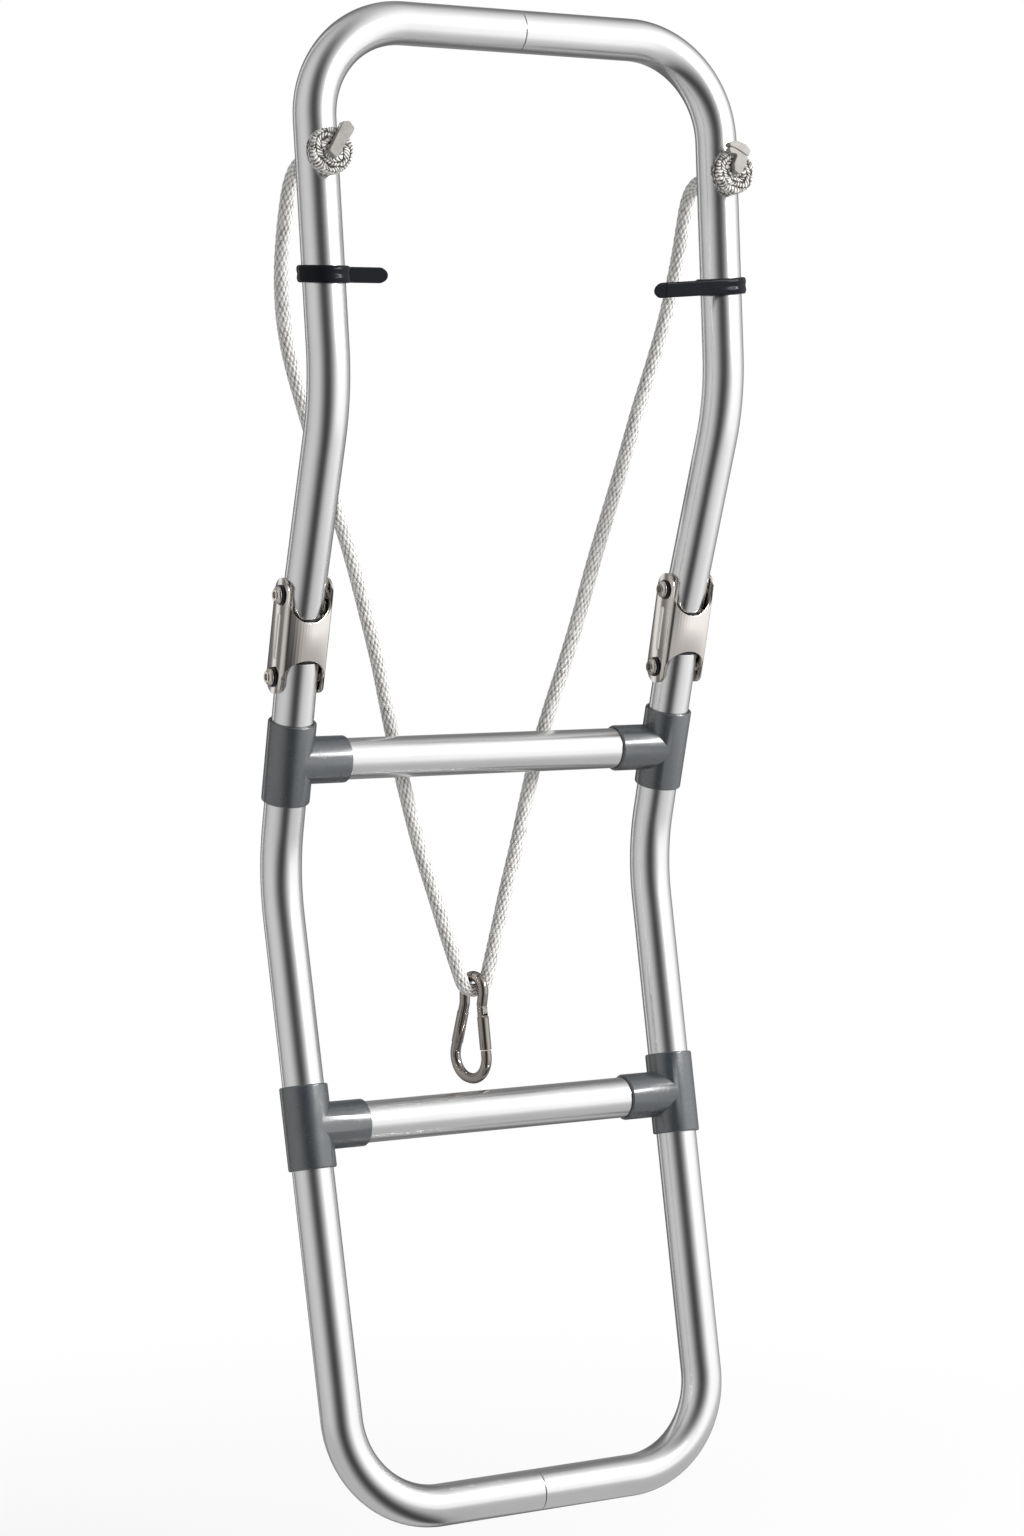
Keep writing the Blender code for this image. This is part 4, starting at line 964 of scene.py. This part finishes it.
def stopper_knot(side):
    """A disc of packed braid in front of the rail, and the sealed end of the rope on it."""
    name = SIDES[side]
    spot = rope_frame(side)
    seat, shank_end = TUBE + GAP, TUBE + 0.0015
    disc, thick, rim, relief = 0.0135, 0.0095, 0.0024, 0.0010
    front = -seat - thick
    profile = [(0, front), (0.0095, front)]
    profile += rounded([(0.0100, front), (disc, front), (disc, -seat), (ROPE_RADIUS, -seat),
                        (ROPE_RADIUS, shank_end), (0, shank_end)],
                       [rim, rim, 0.0004, 0.0002], radians(10))
    fine = []
    for (r0, h0), (r1, h1) in zip(profile, profile[1:]):
        pieces = max(1, ceil(hypot(r1 - r0, h1 - h0) / 0.00032))
        fine += [(r0 + (r1 - r0) * k / pieces, h0 + (h1 - h0) * k / pieces) for k in range(pieces)]
    knot = lathe(f"knot_braid_{name}", fine + profile[-1:], spot, PACKED, 240, smooth=89)
    back = spot.inverted()
    normals = [v.normal.copy() for v in knot.data.vertices]
    heights = []
    for vertex, normal in zip(knot.data.vertices, normals):
        local = back @ vertex.co
        depth = local.z - front
        angle = atan2(local.y, local.x)
        height = packed_braid(hypot(local.x, local.y), angle, depth, 3.1 * side)
        heights.append(height)
        if depth < thick - 0.001:
            vertex.co -= relief * (1 - height) * normal
    keep_ridges(knot, heights)
    dress(knot, "upper_frame", f"rope_knot_{name}", slot="rope_fibre")
    pieces = [knot]
    for index, (*lines, rise) in enumerate(ENDS[side], start=1):
        face, foot = (rounded_loop([(x / 1000, -up / 1000) for x, up in line], 0.0012, radians(20))
                      for line in lines)
        end = plate(f"rope_end_{name}_{index}", foot, front + 0.0012, front - rise, spot, SEALED,
                    60, face)
        pieces.append(dress(softened(end, 0.0003), "upper_frame", slot="rope_fibre"))
    return pieces


# Snap hook

WIRE = 0.00325
BARREL = 0.0036
HOOK_FRAME = Matrix.Translation(APEX) @ turned(-75, "Z") @ turned(4, "Y")
LEG_TOP, LEG_BOTTOM = Vector((0.0079, 0, -0.0095)), Vector((0.0142, 0, -0.0400))
LEG_LEAN = (LEG_TOP - LEG_BOTTOM).normalized()
GATE_PIVOT, GATE_LENGTH, GATE_TOP = -0.0120, 0.0262, 0.0026
EYE_TOP = ROPE_RADIUS + 0.0010 + WIRE


def leg_point(height, side=1):
    share = (height - LEG_TOP.z) / (LEG_BOTTOM.z - LEG_TOP.z)
    point = LEG_TOP.lerp(LEG_BOTTOM, share)
    return Vector((side * point.x, 0, height))


def leg_place(side):
    """Frame on a leg at the gate's pin, local Z up along the leg, local Y along the pin."""
    lean = Matrix.Rotation(side * atan2(LEG_LEAN.x, LEG_LEAN.z), 4, "Y")
    return HOOK_FRAME @ Matrix.Translation(leg_point(GATE_PIVOT, side)) @ lean


def build_hook():
    pivot = leg_point(GATE_PIVOT)
    nose = pivot - (GATE_LENGTH - GATE_TOP + 0.0006) * LEG_LEAN
    corners = [nose, leg_point(-0.0553), leg_point(-0.0553, -1), leg_point(LEG_TOP.z, -1),
               Vector((-0.0091, 0, EYE_TOP)), Vector((0.0091, 0, EYE_TOP)),
               pivot + 0.0041 * LEG_LEAN]
    radii = [0.0138, 0.0138, 0.008, 0.0087, 0.0087]
    path = [HOOK_FRAME @ p for p in spaced(fillet_path(corners, radii, radians(4)), 0.004)]
    plane = HOOK_FRAME.to_3x3() @ Vector((0, 1, 0))
    body = sweep("hook_wire", frames_along(path, plane), circle(WIRE, 40), HOOK)
    softened(body, 0.0004, 3, 60)
    cleaned(body, 50)
    low, neck = GATE_TOP - GATE_LENGTH, GATE_TOP - 0.0057
    profile = rounded(column(BARREL, low, neck), [0.0003, 0.0003])
    shaped(body, lathe("barrel", profile, leg_place(-1), HOOK, 48), "UNION", 30)
    outline = [(0.0026, 0.0055), (-0.0026, 0.0055)] + circle(0.0026, 24, pi, 2 * pi)
    shaped(body, plate("tongue", outline, -0.0019, 0.0019, leg_place(1) @ FRONT, HOOK), "UNION", 30)
    dress(body, "carabiner", "carabiner_body", slot="hook_steel")

    profile = rounded([(0, GATE_TOP), (0.0032, GATE_TOP), (0.0032, neck), (BARREL, neck),
                       (BARREL, low), (0, low)], [0.0004, 0.0001, 0.0002, 0.0005])
    gate = lathe("hook_gate", profile, leg_place(1), HOOK, 48)
    slot = plate("slot", [(-0.01, -0.0038), (0.01, -0.0038), (0.01, 0.01), (-0.01, 0.01)],
                 -0.0023, 0.0023, leg_place(1) @ FRONT, HOOK)
    shaped(gate, slot, smooth=30)
    dress(gate, "carabiner_gate", "carabiner_gate", slot="hook_steel")

    profile = rounded(column(0.0011, -0.0034, 0.0034), [0.0003, 0.0003])
    pin = lathe("hook_pin", profile, leg_place(1) @ BACK, HOOK, 32)
    dress(pin, "carabiner", "carabiner_pin", slot="hook_steel")
    return [body, gate, pin]


# Everything together

build_rails()
build_plugs()
build_rungs()
for level in LEVELS:
    for side in SIDES:
        tee_fitting(level, side)
build_rivets()
build_hinges()
for side in SIDES:
    storage_strap(side)
rope, rope_points, rope_length = build_rope()
knots = [piece for side in SIDES for piece in stopper_knot(side)]
hook = build_hook()

for node, look in (("top_joint_sleeve", BARE), ("bottom_joint_sleeve", BARE),
                   ("carabiner_spring", FASTENER)):
    kept = frame["nodes"][node].data.materials
    kept.clear()
    kept.append(look)


# Studio

# Brightness round the object by the angle from the camera's side, left negative, in degrees
PANELS = [(-180, 0.30), (-168, 0.14), (-150, 0.15), (-139, 0.20), (-136, 1.0), (-127, 1.0),
          (-124, 0.16), (-113, 0.22), (-108, 0.50), (-95, 0.60), (-80, 0.68), (-60, 0.72),
          (-45, 0.64), (-32, 0.42), (-20, 0.20), (-10, 0.075), (0, 0.05), (10, 0.065), (20, 0.18),
          (30, 0.40), (40, 0.68), (48, 0.98), (56, 1.22), (84, 1.22), (105, 1.15), (118, 0.85),
          (135, 0.55), (152, 0.25), (168, 0.14), (180, 0.30)]
# How much of the panels shows by the height of the direction, and the brightness above them
PANEL_HEIGHT = [(-90, 1), (32, 1), (50, 0.8), (65, 0.4), (80, 0.1), (90, 0)]
ABOVE = 0.5
# The floor as metal sees it: capped at FLOOR_LIMIT within FLOOR_NEAR of the ladder, a painted
# shade, and the full panels beyond FLOOR_FAR
FLOOR_LIMIT = 0.55
FLOOR_NEAR, FLOOR_FAR = 0.40, 2.2
FLOOR_SIZE, FLOOR_LEVEL = 6.0, -1.02
WHITE = (1, 1, 1, 1)
TO_CAMERA = Vector((-sin(AZIMUTH), -cos(AZIMUTH), 0))


class Studio(Nodes):
    """Nodes of the world and the floor, which show the same panels."""

    def __init__(self, tree):
        super().__init__(tree)
        tree.nodes.clear()

    def along(self, ray, vector):
        made = self.node("VectorMath", operation="DOT_PRODUCT")
        self.link(ray, made.inputs[0])
        made.inputs[1].default_value = vector
        return made.outputs["Value"]

    def ramp(self, value, stops, half):
        """A value from a table over an angle of half degrees to both sides."""
        made = self.node("ValToRGB")
        elements = made.color_ramp.elements
        elements.remove(elements[-1])
        for i, (angle, level) in enumerate(stops):
            at = (angle + half) / (2 * half)
            element = elements.new(at) if i else elements[0]
            element.position = at
            element.color = (level, level, level, 1)
        shift = self.calc("ADD", value, radians(half))
        self.link(self.calc("DIVIDE", shift, radians(2 * half)), made.inputs["Fac"])
        return made.outputs["Color"]

    def panels(self, ray):
        """Brightness of the panels in the direction of a vector."""
        angle = self.calc("ARCTAN2", self.along(ray, RIGHTWARD), self.along(ray, TO_CAMERA))
        return self.ramp(angle, PANELS, 180)

    def blend(self, share, a, b):
        """(1 - share) a + share b"""
        rest = self.calc("MULTIPLY", self.calc("SUBTRACT", 1.0, share), a)
        return self.calc("ADD", rest, self.calc("MULTIPLY", share, b))

    def surface(self, kind, colour):
        """A plain shader; its colour is a tuple or comes from a node."""
        made = self.node(kind)
        if isinstance(colour, tuple):
            made.inputs["Color"].default_value = colour
        else:
            self.link(colour, made.inputs["Color"])
        return made.outputs[0]

    def choose(self, share, first, second):
        made = self.node("MixShader")
        for source, socket in zip((share, first, second), made.inputs):
            self.link(source, socket)
        return made.outputs[0]

    def finish(self, kind, result):
        self.link(result, self.node(kind).inputs["Surface"])


def world():
    """A studio: white behind the object, tall panels left and right, dark by the camera."""
    made = bpy.data.worlds.new("studio")
    bpy.context.scene.world = made
    made.use_nodes = True
    studio = Studio(made.node_tree)
    ray = studio.node("TexCoord").outputs["Generated"]
    rise = studio.calc("ARCSINE", studio.along(ray, Vector((0, 0, 1))))
    light = studio.blend(studio.ramp(rise, PANEL_HEIGHT, 90), ABOVE, studio.panels(ray))
    seen = studio.node("LightPath").outputs["Is Camera Ray"]
    studio.finish("OutputWorld", studio.choose(seen, studio.surface("Background", light),
                                               studio.surface("Background", WHITE)))


def camera():
    data = bpy.data.cameras.new("camera")
    data.sensor_width = SENSOR
    data.lens = FOCAL_PIXELS / LONG_SIDE_PIXELS * SENSOR
    data.clip_start = 0.05
    data.clip_end = 50
    made = add("camera", data)
    made.location = CAMERA_PLACE
    turn = Matrix((RIGHTWARD, RIGHTWARD.cross(FORWARD), -FORWARD)).transposed()
    made.rotation_euler = turn.to_euler()
    bpy.context.scene.camera = made


def area_light(name, turn, rise, size, power, glossy=False, distance=2.4):
    """A rectangular lamp at a bearing from the camera's side, aimed at the ladder's middle."""
    data = bpy.data.lights.new(name, "AREA")
    data.shape = "RECTANGLE"
    data.size, data.size_y = size
    data.energy = power
    turn, rise = radians(turn), radians(rise)
    level = cos(turn) * TO_CAMERA + sin(turn) * RIGHTWARD
    away = cos(rise) * level + Vector((0, 0, sin(rise)))
    made = add(name, data)
    made.location = Vector((0, 0, -0.45)) + distance * away
    made.rotation_mode = "QUATERNION"
    made.rotation_quaternion = (-away).to_track_quat("-Z", "Y")
    made.visible_glossy = glossy
    made.visible_camera = False


def pale_floor():
    """White for the camera but for a soft shadow; to metal it glows with the panels, with painted
    shade near the ladder.
    """
    half = FLOOR_SIZE
    mesh = bpy.data.meshes.new("floor")
    mesh.from_pydata([(-half, -half, 0), (half, -half, 0), (half, half, 0), (-half, half, 0)],
                     [], [(0, 1, 2, 3)])
    look = bpy.data.materials.new("pale_floor")
    look.use_nodes = True
    mesh.materials.append(look)
    made = add("floor", mesh)
    made.location = (0, 0, FLOOR_LEVEL)
    studio = Studio(look.node_tree)
    place = studio.node("TexCoord").outputs["Object"]
    distance = studio.node("VectorMath", operation="LENGTH")
    studio.link(place, distance.inputs[0])

    def rising(*ends):
        return studio.span(distance.outputs["Value"], *ends, interpolation_type="SMOOTHSTEP")

    plain = studio.surface("BsdfDiffuse", (0.8, 0.8, 0.8, 1))
    paths = studio.node("LightPath").outputs
    panels = studio.panels(place)
    # Painted shade near the ladder, blending out to the full panels far off
    near = studio.calc("MINIMUM", panels, FLOOR_LIMIT)
    panels_with_painted_shade = studio.blend(rising(FLOOR_NEAR, FLOOR_FAR, 0, 1), near, panels)
    white = studio.choose(rising(0.15, 1.1, 0.62, 1), plain, studio.surface("Emission", WHITE))
    shown = studio.choose(paths["Is Camera Ray"], plain, white)
    shown = studio.choose(paths["Is Glossy Ray"], shown, studio.surface("Emission", panels_with_painted_shade))
    studio.finish("OutputMaterial", shown)


world()
camera()
pale_floor()
area_light("key", 70, 25, (1.4, 1.4), 42)
area_light("strap_glint", 80, 32, (0.5, 0.4), 20, True)
area_light("fitting_glint", 62, 27, (0.7, 0.4), 13, True)
area_light("fill", -70, 10, (1.4, 1.4), 5)

bpy.context.scene.view_settings.view_transform = "Standard"
